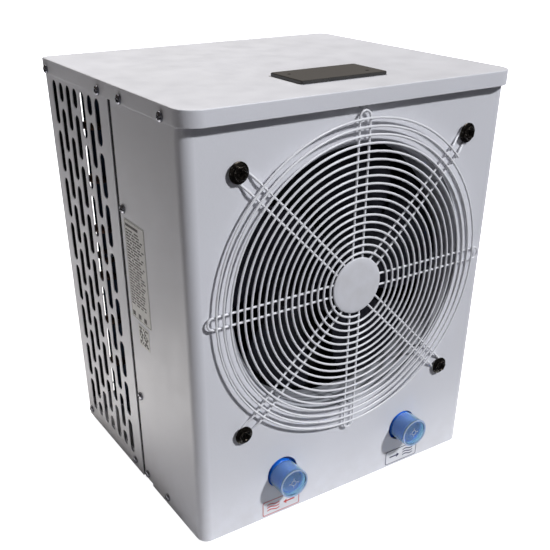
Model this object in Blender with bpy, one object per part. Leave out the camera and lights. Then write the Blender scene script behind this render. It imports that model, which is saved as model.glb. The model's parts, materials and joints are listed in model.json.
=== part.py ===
"""Pool heat pump: a folded sheet-metal cabinet with a front fan, two water ports and all its inner works.

Units are metres with +Z up. The cabinet front faces -Y and the perforated side faces -X. The origin is on the
ground, under the middle of the whole unit.
"""
import math

import bmesh
import bpy
from mathutils import Vector

MM = 0.001

# Cabinet
BODY_W = 393 * MM
BODY_D = 334 * MM
FOOT_H = 8 * MM
BODY_H = 473.7 * MM           # from the underside of the base pan to the top of the lid
SHEET = 1.5 * MM
GAP = 0.3 * MM                # clearance between pieces that rest on each other
FRONT_CORNER_R = 13 * MM
REAR_CORNER_R = 6 * MM
CORNER_STEPS = 5

# Lid
LID_SKIRT = 15.3 * MM
LID_FRONT_R = 22 * MM
LID_REAR_R = 10 * MM
LID_STEPS = 8
LID_EDGE = 1.2 * MM           # bend between the lid's top and its skirt
LID_TOP_GAP = 3.7 * MM        # from the panels' top edges to the lid's top
LID_OVER_FRONT = 9.5 * MM
LID_OVER_REAR = 3.3 * MM
LID_OVER_SIDE = 1.8 * MM

# Panels
WING_D = 147 * MM             # how far the front panel wraps round each side
SEAM = 5 * MM                 # open joint between the front panel's wing and the side panel
LEFT_RETURN_W = 35 * MM
RIGHT_RETURN_W = 78 * MM
NOTCH_W = 19.5 * MM
NOTCH_H = 5.5 * MM
PAN_FLANGE = 22.9 * MM

# Slots in the left panel
SLOT_COLUMNS = 7
SLOT_COLUMN_PITCH = 20.4 * MM
SLOT_FIRST_COLUMN = 28.7 * MM  # from the rear corner
SLOT_W = 12.5 * MM
SLOT_L = 47.9 * MM
SLOT_PITCH = 55.1 * MM
SLOT_SHORT_L = 20.5 * MM
SLOT_TOP = 453.3 * MM          # above the underside of the pan
SLOT_ROWS = 8

# Fan, guard and orifice
FAN_Z = FOOT_H + 272 * MM
OPENING_R = 151 * MM
ORIFICE_R = 146 * MM
ORIFICE_D = 43 * MM
WIRE = 2.6 * MM
GUARD_STAND = 6.2 * MM         # from the panel to the back of the guard's wires
GUARD_START_R = 170.6 * MM
GUARD_TURNS = 8.5
GUARD_PITCH = 16 * MM          # twice the pitch of the real spiral
GUARD_DISC_R = 31.4 * MM
SPOKE_GAP = 13 * MM            # between the two wires of a spoke
SPOKE_TIP_R = 182 * MM
BOLT_OFFSET = 141.7 * MM       # of the guard's bolts from the fan axis, in X and in Z
BLADE_COUNT = 5
BLADE_TIP_R = 139 * MM
HUB_R = 42 * MM
FAN_FRONT = 12 * MM
FAN_BACK = 50 * MM
SHAFT_R = 4 * MM
BORE_GAP = 0.15 * MM

# Guard over the coil
REAR_GUARD_COLUMNS = 10
REAR_GUARD_ROWS = 4
REAR_GUARD_LOW = 34 * MM       # above the underside of the pan
REAR_GUARD_HIGH = 446 * MM
REAR_GUARD_LAP = 8 * MM        # of the guard over each rear flange

# Water ports; each sits a little off the middle of its hole
PORT_HOLES = {'outlet': (-89.1 * MM, FOOT_H + 58.1 * MM), 'inlet': (90.9 * MM, FOOT_H + 58.1 * MM)}
PORT_AXES = {'outlet': (-89.1 * MM, FOOT_H + 56.4 * MM), 'inlet': (91.2 * MM, FOOT_H + 59.1 * MM)}
PORT_HOLE_R = 20.15 * MM
PORT_R = 16 * MM
PORT_SHOULDER_R = 17.6 * MM
COLLAR_R = 24 * MM
PIPE_WALL = 3 * MM
CAP_REACH = 24.7 * MM          # how far a cap stands out of the front panel
CAP_R_BASE = 17.9 * MM
CAP_R_TIP = 18.4 * MM

# Cable gland
GLAND_REACH = 14 * MM
GLAND_X = 165 * MM
GLAND_Z = FOOT_H + 52 * MM

# Controller on the lid
CONTROL_W = 106 * MM
CONTROL_D = 56 * MM
CONTROL_T = 3.2 * MM
CONTROL_X = 7 * MM
CONTROL_SETBACK = 37.5 * MM
CONTROL_CORNER_R = 2.5 * MM
MODULE_W = 88 * MM            # display module that hangs in the lid's window
MODULE_D = 38 * MM
MODULE_H = 18 * MM

# Planes that follow from the sizes above
TOTAL_D = CAP_REACH + BODY_D + GLAND_REACH
FRONT_Y = -TOTAL_D / 2 + CAP_REACH
REAR_Y = FRONT_Y + BODY_D
HALF_W = BODY_W / 2
BASE_Z = FOOT_H
LID_Z = FOOT_H + BODY_H
PANEL_TOP = LID_Z - LID_TOP_GAP
FLOOR_Z = BASE_Z + SHEET
FAN_AXIS = (0, FRONT_Y, FAN_Z)

# Coil; whole numbers from here on are millimetres behind the front panel, as for depth()
COIL_LEFT = -150.2 * MM
COIL_RIGHT = 108 * MM
COIL_FRONT = 286
COIL_BACK = 322
COIL_MIDDLE = (COIL_FRONT + COIL_BACK) / 2
COIL_LOW = FLOOR_Z + 3 * MM
COIL_HIGH = LID_Z - 22 * MM
COIL_TUBE_R = 4.5 * MM
ROW_GAP = 18 * MM             # between the coil's two rows of tubes
BEND_COUNT = 6
BEND_PITCH = 62.8 * MM
BEND_FIRST = FOOT_H + 85.6 * MM

# Vessels: X, distance behind the front panel, radius
COMPRESSOR = (78 * MM, 205, 52 * MM)
EXCHANGER = (-96 * MM, 208, 60 * MM)
COMPRESSOR_FOOT_Z = FLOOR_Z + 12 * MM
COMPRESSOR_H = 205 * MM
GROMMET_CIRCLE_R = 55 * MM
ACCUMULATOR_X = COMPRESSOR[0] + COMPRESSOR[2] + 28 * MM
ACCUMULATOR_H = 188 * MM
DRIER_X = EXCHANGER[0] + 78 * MM
DRIER_TOP = FLOOR_Z + 168 * MM
REFRIGERANT_RISE = 34 * MM    # of the discharge line over the compressor

# Water circuit
INLET_X = -68 * MM            # where the water pipes meet the vessel
INLET_Z = PORT_AXES['inlet'][1]
OUTLET_X = -112 * MM
OUTLET_Z = FLOOR_Z + 178 * MM
FLOW_BACK = 52
FLOW_PIVOT_RISE = 24 * MM     # of the paddle's pivot over the inlet pipe's axis
FLOW_BOX_HALF = 15 * MM
FLOW_BOX_H = 26 * MM

# Electrics
BOX_LOW = (66 * MM, 168, FLOOR_Z + 280 * MM)
BOX_HIGH = (HALF_W - SHEET - GAP, 262, LID_Z - 24 * MM)
CORD_R = 4 * MM
CORD_DROP = 276
GLAND_THREAD_R = 7.4 * MM


def depth(distance):
    """Y of a point this far behind the front panel's outer face."""
    return FRONT_Y + distance * MM


def clear_scene():
    for old in list(bpy.data.objects):
        bpy.data.objects.remove(old, do_unlink=True)


def make_material(name, colour, roughness, metallic=0.0, alpha=1.0):
    """A Principled material."""
    made = bpy.data.materials.new(name)
    made.use_nodes = True
    shader = made.node_tree.nodes["Principled BSDF"]
    shader.inputs["Base Color"].default_value = (*colour, 1)
    shader.inputs["Roughness"].default_value = roughness
    shader.inputs["Metallic"].default_value = metallic
    shader.inputs["Alpha"].default_value = alpha
    made.diffuse_color = (*colour, alpha)
    return made


def add_object(name, bm, material, origin=(0, 0, 0), smooth=True):
    """Turn world-space geometry into a named object whose origin is at the given point."""
    bmesh.ops.recalc_face_normals(bm, faces=bm.faces[:])
    if bm.calc_volume(signed=True) < 0:
        bmesh.ops.reverse_faces(bm, faces=bm.faces[:])
    bmesh.ops.translate(bm, verts=bm.verts[:], vec=-Vector(origin))
    mesh = bpy.data.meshes.new(name)
    bm.to_mesh(mesh)
    bm.free()
    if smooth:
        mesh.shade_smooth()
        mesh.set_sharp_from_angle(angle=math.radians(38))
    mesh.materials.append(material)
    made = bpy.data.objects.new(name, mesh)
    made.location = origin
    bpy.context.scene.collection.objects.link(made)
    return made


def add_loft(bm, loops, ring=False):
    """Skin a row of equal loops; a loop of one point is a pole. A ring joins its last loop to its first."""
    rows = [[bm.verts.new(point) for point in loop] for loop in loops]
    pairs = list(zip(rows, rows[1:]))
    if ring:
        pairs.append((rows[-1], rows[0]))
    for low, high in pairs:
        count = max(len(low), len(high))
        for i in range(count):
            j = (i + 1) % count
            corners = [low[i % len(low)], low[j % len(low)], high[j % len(high)], high[i % len(high)]]
            bm.faces.new(list(dict.fromkeys(corners)))
    if not ring:
        for end in (rows[0], rows[-1]):
            if len(end) > 2:
                bm.faces.new(end)


def loft(name, loops, material, origin=(0, 0, 0), ring=False, smooth=True):
    bm = bmesh.new()
    add_loft(bm, loops, ring)
    return add_object(name, bm, material, origin, smooth)


def rectangle(low, high):
    """Corner points of a flat rectangle, in order."""
    return [(low[0], low[1]), (high[0], low[1]), (high[0], high[1]), (low[0], high[1])]


def quarter(centre, radius, start, steps=CORNER_STEPS):
    """Points on a quarter circle in plan, from this angle on."""
    points = []
    for step in range(steps + 1):
        angle = start + step * math.pi / 2 / steps
        points.append((centre[0] + radius * math.cos(angle), centre[1] + radius * math.sin(angle)))
    return points


def rounded_rectangle(low, high, front_r, rear_r, steps=CORNER_STEPS):
    """Outline of a rectangle with round corners, of one radius at low Y and another at high Y."""
    centres = [(low[0] + front_r, low[1] + front_r), (high[0] - front_r, low[1] + front_r),
               (high[0] - rear_r, high[1] - rear_r), (low[0] + rear_r, high[1] - rear_r)]
    points = []
    for corner, (centre, radius) in enumerate(zip(centres, (front_r, front_r, rear_r, rear_r))):
        points += quarter(centre, radius, math.pi + corner * math.pi / 2, steps)
    return points


def lift(outline, z):
    return [(x, y, z) for x, y in outline]


def prism(name, outline, low_z, high_z, material, origin=(0, 0, 0), smooth=True):
    """Upright solid on a flat outline."""
    return loft(name, [lift(outline, low_z), lift(outline, high_z)], material, origin, smooth=smooth)


def box(name, low, high, material, edge=0.0, origin=None):
    """Rectangular block between two corners, with an optional small chamfer."""
    bm = bmesh.new()
    add_loft(bm, [lift(rectangle(low, high), low[2]), lift(rectangle(low, high), high[2])])
    if edge:
        bmesh.ops.bevel(bm, geom=bm.edges[:], offset=edge, segments=1, affect='EDGES')
    if origin is None:
        origin = [(a + b) / 2 for a, b in zip(low, high)]
    return add_object(name, bm, material, origin)


def circle(centre, radius, axis, sides, turn=0.0):
    """Points on a circle whose axis is 'X', 'Y' or 'Z'."""
    points = []
    for i in range(sides):
        angle = turn + math.tau * i / sides
        a = radius * math.cos(angle)
        b = radius * math.sin(angle)
        offset = {'X': (0, a, b), 'Y': (a, 0, b), 'Z': (a, b, 0)}[axis]
        points.append(tuple(c + o for c, o in zip(centre, offset)))
    return points


def turned_loops(profile, centre, axis, sides):
    """Loops of a turned shape; each profile entry is (radius, distance along the axis from the centre)."""
    index = 'XYZ'.index(axis)
    loops = []
    for radius, along in profile:
        middle = list(centre)
        middle[index] += along
        loops.append([tuple(middle)] if radius == 0 else circle(middle, radius, axis, sides))
    return loops


def turned(name, profile, centre, axis, sides, material, ring=False):
    """Turned solid about an axis through the centre. A ring's profile runs right round its section."""
    return loft(name, turned_loops(profile, centre, axis, sides), material, centre, ring)


def cylinder(name, centre, axis, radius, low, high, sides, material, edge=0.0):
    """Solid cylinder between two distances along its axis, with an optional small chamfer."""
    profile = [(0, low), (radius, low), (radius, high), (0, high)]
    if edge:
        profile[1:3] = [(radius - edge, low), (radius, low + edge),
                        (radius, high - edge), (radius - edge, high)]
    return turned(name, profile, centre, axis, sides, material)


def hex_nut(name, centre, corner_r, bore_r, low, high, material):
    """Hexagonal nut round a Y axis, with a round bore."""
    def outside(y):
        corners = circle((centre[0], centre[1] + y, centre[2]), corner_r, 'Y', 6)
        flats = [tuple((a + b) / 2 for a, b in zip(p, q)) for p, q in zip(corners, corners[1:] + corners[:1])]
        return [point for pair in zip(corners, flats) for point in pair]

    def inside(y):
        return circle((centre[0], centre[1] + y, centre[2]), bore_r, 'Y', 12)

    loops = [inside(low), outside(low), outside(high), inside(high)]
    return loft(name, loops, material, centre, ring=True)


def rounded_path(corners, bend, steps=4):
    """Centre line through the corners, with an arc of the bend radius at each inner corner."""
    points = [Vector(corners[0])]
    for before, corner, after in zip(corners, corners[1:], corners[2:]):
        corner = Vector(corner)
        back = (Vector(before) - corner).normalized()
        ahead = (Vector(after) - corner).normalized()
        half = back.angle(ahead) / 2
        reach = bend / math.tan(half)
        middle = corner + (back + ahead).normalized() * bend / math.sin(half)
        first = corner + back * reach - middle
        last = corner + ahead * reach - middle
        for step in range(steps + 1):
            share = step / steps
            angle = first.angle(last)
            spoke = (first * math.sin((1 - share) * angle) + last * math.sin(share * angle)) / math.sin(angle)
            points.append(middle + spoke)
    points.append(Vector(corners[-1]))
    return points


def section_loops(path, radius, sides):
    """Circular sections square to a path, without twist."""
    loops = []
    normal = (path[1] - path[0]).orthogonal().normalized()
    for i, point in enumerate(path):
        ahead = (path[min(i + 1, len(path) - 1)] - point).normalized() if i < len(path) - 1 else Vector()
        back = (point - path[i - 1]).normalized() if i else Vector()
        tangent = (ahead + back).normalized()
        normal = (normal - tangent * normal.dot(tangent)).normalized()
        side = tangent.cross(normal)
        loops.append([point + (normal * math.cos(a) + side * math.sin(a)) * radius
                      for a in (math.tau * k / sides for k in range(sides))])
    return loops


def pipe(name, corners, radius, bend, sides, material, wall=0.0, steps=4):
    """Round pipe or cable along a bent centre line; with a wall it is open at both ends."""
    path = rounded_path(corners, bend, steps)
    loops = section_loops(path, radius, sides)
    if wall:
        loops += section_loops(path, radius - wall, sides)[::-1]
    return loft(name, loops, material, corners[0], ring=bool(wall))


def hide_tool(tool):
    tool.hide_render = True
    tool.display_type = 'WIRE'
    return tool


def boolean(target, tool, operation='DIFFERENCE'):
    """Cut, or join, one shape with another."""
    modifier = target.modifiers.new(tool.name, 'BOOLEAN')
    modifier.operation = operation
    modifier.solver = 'EXACT'
    modifier.object = hide_tool(tool)
    return target


def cut_cylinder(target, centre, axis, radius, low, high, sides, material):
    tool = cylinder(target.name + '_hole', centre, axis, radius, low, high, sides, material)
    return boolean(target, tool)


# ---------------------------------------------------------------- cabinet

def build_base_pan(materials):
    """Shallow tray that stands on the feet and carries the panels and everything inside."""
    paint = materials['white_paint']

    def outline(inset):
        low = (-HALF_W + inset, FRONT_Y + inset)
        high = (HALF_W - inset, REAR_Y - inset)
        return rounded_rectangle(low, high, FRONT_CORNER_R - inset, REAR_CORNER_R - inset)

    outer = outline(SHEET + GAP)
    inner = outline(2 * SHEET + GAP)
    rim = BASE_Z + PAN_FLANGE
    loops = [lift(inner, FLOOR_Z), lift(inner, rim), lift(outer, rim), lift(outer, BASE_Z)]
    pan = loft('base_pan', loops, paint, (0, 0, BASE_Z))
    for x in (-60 * MM, 60 * MM):
        cut_cylinder(pan, (x, depth(270), BASE_Z), 'Z', 6 * MM, -5 * MM, 5 * MM, 10, paint)
    return pan


def build_feet(materials):
    """Four rubber feet with a chamfered tread."""
    side_x = HALF_W - 45 * MM
    places = {'foot_front_left': (-side_x, depth(45)), 'foot_front_right': (side_x, depth(45)),
              'foot_rear_left': (-side_x, depth(289)), 'foot_rear_right': (side_x, depth(289))}
    top = FOOT_H - GAP
    profile = [(0, 0), (13 * MM, 0), (15 * MM, 2 * MM), (15 * MM, top), (0, top)]
    for name, (x, y) in places.items():
        turned(name, profile, (x, y, 0), 'Z', 12, materials['rubber'])


def front_panel_outline():
    """Plan of the front panel: a flat front with two wings, bent from one sheet."""
    wing_end = FRONT_Y + WING_D
    outer = []
    inner = []
    for side, start in ((-1, math.pi), (1, 1.5 * math.pi)):
        centre = (side * (HALF_W - FRONT_CORNER_R), FRONT_Y + FRONT_CORNER_R)
        outer += quarter(centre, FRONT_CORNER_R, start)
        inner += quarter(centre, FRONT_CORNER_R - SHEET, start)
    ends = HALF_W - SHEET
    outer = [(-HALF_W, wing_end)] + outer + [(HALF_W, wing_end)]
    inner = [(-ends, wing_end)] + inner + [(ends, wing_end)]
    return outer + inner[::-1]


def build_front_panel(materials):
    """Wrap-round front with the fan opening, the two port holes and a notch at the foot of each wing."""
    paint = materials['white_paint']
    panel = prism('front_panel', front_panel_outline(), BASE_Z, PANEL_TOP, paint, (0, FRONT_Y, BASE_Z))
    through = 8 * MM
    cut_cylinder(panel, FAN_AXIS, 'Y', OPENING_R, -through, through, 48, paint)
    for x, z in PORT_HOLES.values():
        cut_cylinder(panel, (x, FRONT_Y, z), 'Y', PORT_HOLE_R, -through, through, 20, paint)
    notch_y = FRONT_Y + WING_D - NOTCH_W
    for side in (-1, 1):
        near, far = sorted((side * (HALF_W - 2 * SHEET), side * (HALF_W + SHEET)))
        tool = box('notch_tool', (near, notch_y, BASE_Z - SHEET),
                   (far, notch_y + 2 * NOTCH_W, BASE_Z + NOTCH_H), paint)
        boolean(panel, tool)
    return panel


def side_panel_outline(side, return_w):
    """Plan of a side panel: a flat side and a return flange round the rear corner."""
    start = FRONT_Y + WING_D + SEAM
    centre = (HALF_W - REAR_CORNER_R, REAR_Y - REAR_CORNER_R)
    outer = [(HALF_W, start)] + quarter(centre, REAR_CORNER_R, 0) + [(HALF_W - return_w, REAR_Y)]
    inner = ([(HALF_W - SHEET, start)] + quarter(centre, REAR_CORNER_R - SHEET, 0)
             + [(HALF_W - return_w, REAR_Y - SHEET)])
    return [(side * x, y) for x, y in outer + inner[::-1]]


def slot_places():
    """Middle height and length of every slot, with the Y of its column."""
    places = []
    for column in range(SLOT_COLUMNS):
        y = REAR_Y - SLOT_FIRST_COLUMN - column * SLOT_COLUMN_PITCH
        top = BASE_Z + SLOT_TOP
        bottom = top - (SLOT_ROWS - 1) * SLOT_PITCH - SLOT_L
        if column % 2 == 0:
            rows = [(top - row * SLOT_PITCH - SLOT_L / 2, SLOT_L) for row in range(SLOT_ROWS)]
        else:
            first = top - SLOT_PITCH / 2 - SLOT_L / 2
            rows = [(first - row * SLOT_PITCH, SLOT_L) for row in range(SLOT_ROWS - 1)]
            rows.append((top - SLOT_SHORT_L / 2, SLOT_SHORT_L))
            rows.append((bottom + SLOT_SHORT_L / 2, SLOT_SHORT_L))
        places += [(y, z, length) for z, length in rows]
    return places


def build_left_side_panel(materials):
    """Side panel with staggered columns of upright slots for the air intake."""
    paint = materials['white_paint']
    outline = side_panel_outline(-1, LEFT_RETURN_W)
    panel = prism('left_side_panel', outline, BASE_Z, PANEL_TOP, paint, (-HALF_W, REAR_Y, BASE_Z))
    bm = bmesh.new()
    half_w = SLOT_W / 2
    for y, z, length in slot_places():
        straight = length / 2 - half_w
        tip = length / 2
        outline = [(half_w, -straight), (half_w, straight), (0, tip),
                   (-half_w, straight), (-half_w, -straight), (0, -tip)]
        add_loft(bm, [[(x, y + a, z + b) for a, b in outline]
                      for x in (-HALF_W - 3 * MM, -HALF_W + 3 * MM)])
    return boolean(panel, add_object('slot_tool', bm, paint))


def build_right_side_panel(materials):
    """Plain side panel; its wider rear flange carries the cable gland."""
    paint = materials['white_paint']
    outline = side_panel_outline(1, RIGHT_RETURN_W)
    panel = prism('right_side_panel', outline, BASE_Z, PANEL_TOP, paint, (HALF_W, REAR_Y, BASE_Z))
    return cut_cylinder(panel, (GLAND_X, REAR_Y, GLAND_Z), 'Y', 8 * MM, -6 * MM, 6 * MM, 12, paint)


def build_top_lid(materials):
    """Folded lid with round corners, a narrow top bend, a short skirt and a window under the controller."""
    paint = materials['white_paint']
    low = (-HALF_W - LID_OVER_SIDE, FRONT_Y - LID_OVER_FRONT)
    high = (HALF_W + LID_OVER_SIDE, REAR_Y + LID_OVER_REAR)

    def ring(inset, z):
        outline = rounded_rectangle([v + inset for v in low], [v - inset for v in high],
                                    LID_FRONT_R - inset, LID_REAR_R - inset, LID_STEPS)
        return lift(outline, z)

    bottom = LID_Z - LID_SKIRT
    loops = [ring(SHEET, LID_Z - SHEET), ring(SHEET, bottom), ring(0, bottom), ring(0, LID_Z - LID_EDGE)]
    for angle in (45, 90):
        turn = math.radians(angle)
        loops.append(ring(LID_EDGE * (1 - math.cos(turn)), LID_Z - LID_EDGE * (1 - math.sin(turn))))
    lid = loft('top_lid', loops, paint, (0, 0, LID_Z))
    centre_y = FRONT_Y + CONTROL_SETBACK + CONTROL_D / 2
    half_w = MODULE_W / 2 + 1 * MM
    half_d = MODULE_D / 2 + 1 * MM
    tool = box('lid_window_tool', (CONTROL_X - half_w, centre_y - half_d, LID_Z - 5 * MM),
               (CONTROL_X + half_w, centre_y + half_d, LID_Z + 5 * MM), paint)
    return boolean(lid, tool)


def build_rear_guard(materials):
    """Welded wire guard over the coil, lapped onto the two rear flanges."""
    left = -HALF_W + LEFT_RETURN_W - REAR_GUARD_LAP
    right = HALF_W - RIGHT_RETURN_W + REAR_GUARD_LAP
    low = BASE_Z + REAR_GUARD_LOW
    high = BASE_Z + REAR_GUARD_HIGH
    xs = [left + (right - left) * i / (REAR_GUARD_COLUMNS - 1) for i in range(REAR_GUARD_COLUMNS)]
    zs = [low + (high - low) * i / (REAR_GUARD_ROWS - 1) for i in range(REAR_GUARD_ROWS)]
    bm = bmesh.new()
    points = {}

    def corner(x, z):
        key = (round(x, 6), round(z, 6))
        if key not in points:
            points[key] = bm.verts.new((x, REAR_Y + GAP + WIRE, z))
        return points[key]

    def patch(x0, x1, z0, z1):
        bm.faces.new([corner(x0, z0), corner(x1, z0), corner(x1, z1), corner(x0, z1)])

    half = WIRE / 2
    for i, x in enumerate(xs):
        for j, z in enumerate(zs):
            patch(x - half, x + half, z - half, z + half)
            if j:
                patch(x - half, x + half, zs[j - 1] + half, z - half)
            if i:
                patch(xs[i - 1] + half, x - half, z - half, z + half)
    thicken(bm, WIRE)
    return add_object('rear_guard', bm, materials['guard_wire'], (0, REAR_Y, low), smooth=False)


def thicken(bm, thickness):
    """Give a flat net in the XZ plane this thickness, towards -Y."""
    extruded = bmesh.ops.extrude_face_region(bm, geom=bm.faces[:])
    moved = [item for item in extruded['geom'] if isinstance(item, bmesh.types.BMVert)]
    bmesh.ops.translate(bm, verts=moved, vec=(0, -thickness, 0))


# ---------------------------------------------------------------- fan

def spoke_point(angle, along, across):
    """Point in the guard's plane, given along and across a spoke from the fan axis."""
    return (along * math.cos(angle) - across * math.sin(angle),
            along * math.sin(angle) + across * math.cos(angle))


def build_fan_grille(materials):
    """Spiral wire guard on eight two-wire spokes; four spokes run out and down to the bolts."""
    bm = bmesh.new()
    half = WIRE / 2
    back_y = FRONT_Y - GUARD_STAND
    spokes = [math.radians(45 * k) for k in range(8)]
    edges = [side * SPOKE_GAP / 2 + rim for side in (-1, 1) for rim in (-half, half)]
    stations = []
    for angle in spokes:
        stations += [(angle, across) for across in edges]
        stations.append((angle + math.radians(22.5), 0))
    per_turn = len(stations)

    def vertex(angle, along, across, drop=0.0):
        x, z = spoke_point(angle, along, across)
        return bm.verts.new((x, back_y + drop, FAN_Z + z))

    def along_for(radius, across):
        return math.sqrt(radius * radius - across * across)

    first = 2 * per_turn // 8
    total = int(GUARD_TURNS * per_turn)
    spiral = []
    for k in range(total):
        angle, across = stations[(first + k) % per_turn]
        radius = GUARD_START_R - GUARD_PITCH * k / per_turn
        spiral.append([vertex(angle, along_for(radius + rim, across), across) for rim in (half, -half)])
    disc = [vertex(angle, along_for(GUARD_DISC_R, across), across) for angle, across in stations]
    bm.faces.new(disc)
    for before, after in zip(spiral, spiral[1:]):
        bm.faces.new([before[0], after[0], after[1], before[1]])

    def is_wire_edge(index):
        """Whether a wire of a spoke lies between this station and the next."""
        return index % (per_turn // 8) in (0, 2)

    def inner_vertex(k):
        """Outer edge of whatever lies one turn further in."""
        if k < total:
            return spiral[k][0]
        return disc[(first + k) % per_turn]

    for k in range(total - 1):
        if is_wire_edge((first + k) % per_turn):
            inside = k + per_turn
            if inside < total - 1 or inside >= total:
                bm.faces.new([spiral[k][1], spiral[k + 1][1], inner_vertex(inside + 1), inner_vertex(inside)])

    for index, angle in enumerate(spokes):
        add_spoke_end(bm, vertex, spiral, index, angle, first, per_turn)
    thicken(bm, WIRE)
    return add_object('fan_grille', bm, materials['guard_wire'], FAN_AXIS, smooth=False)


def add_spoke_end(bm, vertex, spiral, index, angle, first, per_turn):
    """The turned-back end of a two-wire spoke, outside the last turn of the spiral."""
    base = (index * (per_turn // 8) - first) % per_turn
    rim = [spiral[base + step][0] for step in range(4)]
    half = WIRE / 2
    centre_line = SPOKE_GAP / 2
    if index % 2:
        bolt_r = BOLT_OFFSET * math.sqrt(2)
        straights = [(bolt_r - 20 * MM, 0.0), (bolt_r - 9 * MM, GUARD_STAND - GAP)]
        turn_at = bolt_r
    else:
        straights = []
        turn_at = SPOKE_TIP_R - centre_line - half
    drop = straights[-1][1] if straights else 0.0
    outline = []
    for side, reach in ((0, centre_line + half), (1, centre_line - half)):
        line = [vertex(angle, along, -reach, fall) for along, fall in straights]
        for step in range(7):
            turn = -math.pi / 2 + step * math.pi / 6
            line.append(vertex(angle, turn_at + reach * math.cos(turn), reach * math.sin(turn), drop))
        line += [vertex(angle, along, reach, fall) for along, fall in reversed(straights)]
        outline.append(line)
    outer = [rim[0]] + outline[0] + [rim[3]]
    inner = [rim[1]] + outline[1] + [rim[2]]
    for a, b, c, d in zip(outer, outer[1:], inner[1:], inner):
        bm.faces.new([a, b, c, d])


def build_grille_bolts(materials):
    """Hexagon bolts with a flange that clamp the guard's arms to the front panel."""
    names = {(-1, 1): 'grille_bolt_top_left', (1, 1): 'grille_bolt_top_right',
             (-1, -1): 'grille_bolt_bottom_left', (1, -1): 'grille_bolt_bottom_right'}
    seat = GAP + WIRE + GAP
    for (side_x, side_z), name in names.items():
        centre = (side_x * BOLT_OFFSET, FRONT_Y, FAN_Z + side_z * BOLT_OFFSET)
        profile = [(0, -seat - 5.5 * MM), (6.2 * MM, -seat - 5.5 * MM), (6.6 * MM, -seat - 2.5 * MM),
                   (10.2 * MM, -seat - 1.4 * MM), (10.2 * MM, -seat), (3.2 * MM, -seat), (3.2 * MM, -GAP),
                   (0, -GAP)]
        turned(name, profile, centre, 'Y', 12, materials['dark_zinc'])


def build_orifice_ring(materials):
    """Deep bell-mouth ring behind the fan opening."""
    front = SHEET + GAP
    rim = OPENING_R + 14 * MM
    profile = [(rim, front), (OPENING_R + 1 * MM, front), (ORIFICE_R, front + 8 * MM), (ORIFICE_R, ORIFICE_D),
               (ORIFICE_R + SHEET, ORIFICE_D), (ORIFICE_R + SHEET, front + 8.5 * MM),
               (OPENING_R + 2 * MM, front + SHEET), (rim, front + SHEET)]
    return turned('fan_orifice_ring', profile, FAN_AXIS, 'Y', 36, materials['galvanised'], ring=True)


def add_blade(bm, turn):
    """One wide twisted blade, rooted inside the hub."""
    stations = 5
    chord_steps = 4
    thickness = 2.6 * MM
    root_r = HUB_R - 6 * MM
    loops = []
    for station in range(stations):
        share = station / (stations - 1)
        radius = root_r + (BLADE_TIP_R - root_r) * share
        span = math.radians(54 + 6 * share)
        sweep = math.radians(18) * share
        front = FAN_FRONT + 5 * MM + 3 * MM * share
        back = FAN_BACK - 4 * MM - 5 * MM * share
        face = []
        rear = []
        for step in range(chord_steps + 1):
            part = step / chord_steps
            angle = turn + sweep - span / 2 + span * part
            camber = 3 * MM * math.sin(math.pi * part)
            y = FRONT_Y + front + (back - front - thickness) * part - camber
            x = radius * math.cos(angle)
            z = FAN_Z + radius * math.sin(angle)
            face.append((x, y, z))
            rear.append((x, y + thickness, z))
        loops.append(face + rear[::-1])
    add_loft(bm, loops)


def build_impeller(materials):
    """Axial impeller: a bored hub with five blades."""
    plastic = materials['black_plastic']
    bore = SHAFT_R + BORE_GAP
    profile = [(bore, FAN_FRONT), (HUB_R - 8 * MM, FAN_FRONT), (HUB_R, FAN_FRONT + 7 * MM), (HUB_R, FAN_BACK),
               (bore, FAN_BACK)]
    hub = turned('fan_impeller', profile, FAN_AXIS, 'Y', 20, plastic, ring=True)
    bm = bmesh.new()
    for blade in range(BLADE_COUNT):
        add_blade(bm, math.tau * blade / BLADE_COUNT)
    return boolean(hub, add_object('blade_tool', bm, plastic, FAN_AXIS), 'UNION')


def build_fan_drive(materials):
    """Motor, its shaft, the nut that holds the impeller and the bracket behind them."""
    steel = materials['zinc_steel']
    cylinder('motor_shaft', FAN_AXIS, 'Y', SHAFT_R, FAN_FRONT - 9 * MM, 92 * MM, 12, steel)
    hex_nut('fan_nut', FAN_AXIS, 7.5 * MM, SHAFT_R + BORE_GAP, FAN_FRONT - 7 * MM, FAN_FRONT - GAP, steel)
    pocket = SHAFT_R + GAP
    motor = [(0, 120 * MM), (34 * MM, 120 * MM), (46 * MM, 112 * MM), (46 * MM, 72 * MM), (40 * MM, 64 * MM),
             (14 * MM, 62 * MM), (12 * MM, 54 * MM), (pocket, 54 * MM), (pocket, 94 * MM), (0, 94 * MM)]
    turned('fan_motor', motor, FAN_AXIS, 'Y', 18, materials['galvanised'])
    near = depth(120) + GAP
    half = 32 * MM
    flange = 18 * MM
    outline = [(-half, near), (half, near), (half, near + flange), (half - SHEET, near + flange),
               (half - SHEET, near + SHEET), (-half + SHEET, near + SHEET), (-half + SHEET, near + flange),
               (-half, near + flange)]
    prism('motor_bracket', outline, FLOOR_Z + GAP, LID_Z - 22 * MM, materials['galvanised'],
          (0, near, FLOOR_Z), smooth=False)


# ---------------------------------------------------------------- refrigerant circuit

def add_return_bend(bm, x, direction, z):
    """Level half-round bend that joins the front and rear rows of tubes outside an end plate."""
    middle = depth(COIL_MIDDLE)
    reach = ROW_GAP / 2
    root = x - direction * 1 * MM
    steps = 4
    path = [Vector((root, middle - reach, z))]
    for step in range(steps + 1):
        angle = math.pi * step / steps
        out = x + direction * (4 * MM + reach * math.sin(angle))
        path.append(Vector((out, middle - reach * math.cos(angle), z)))
    path.append(Vector((root, middle + reach, z)))
    add_loft(bm, section_loops(path, COIL_TUBE_R, 6))


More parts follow.
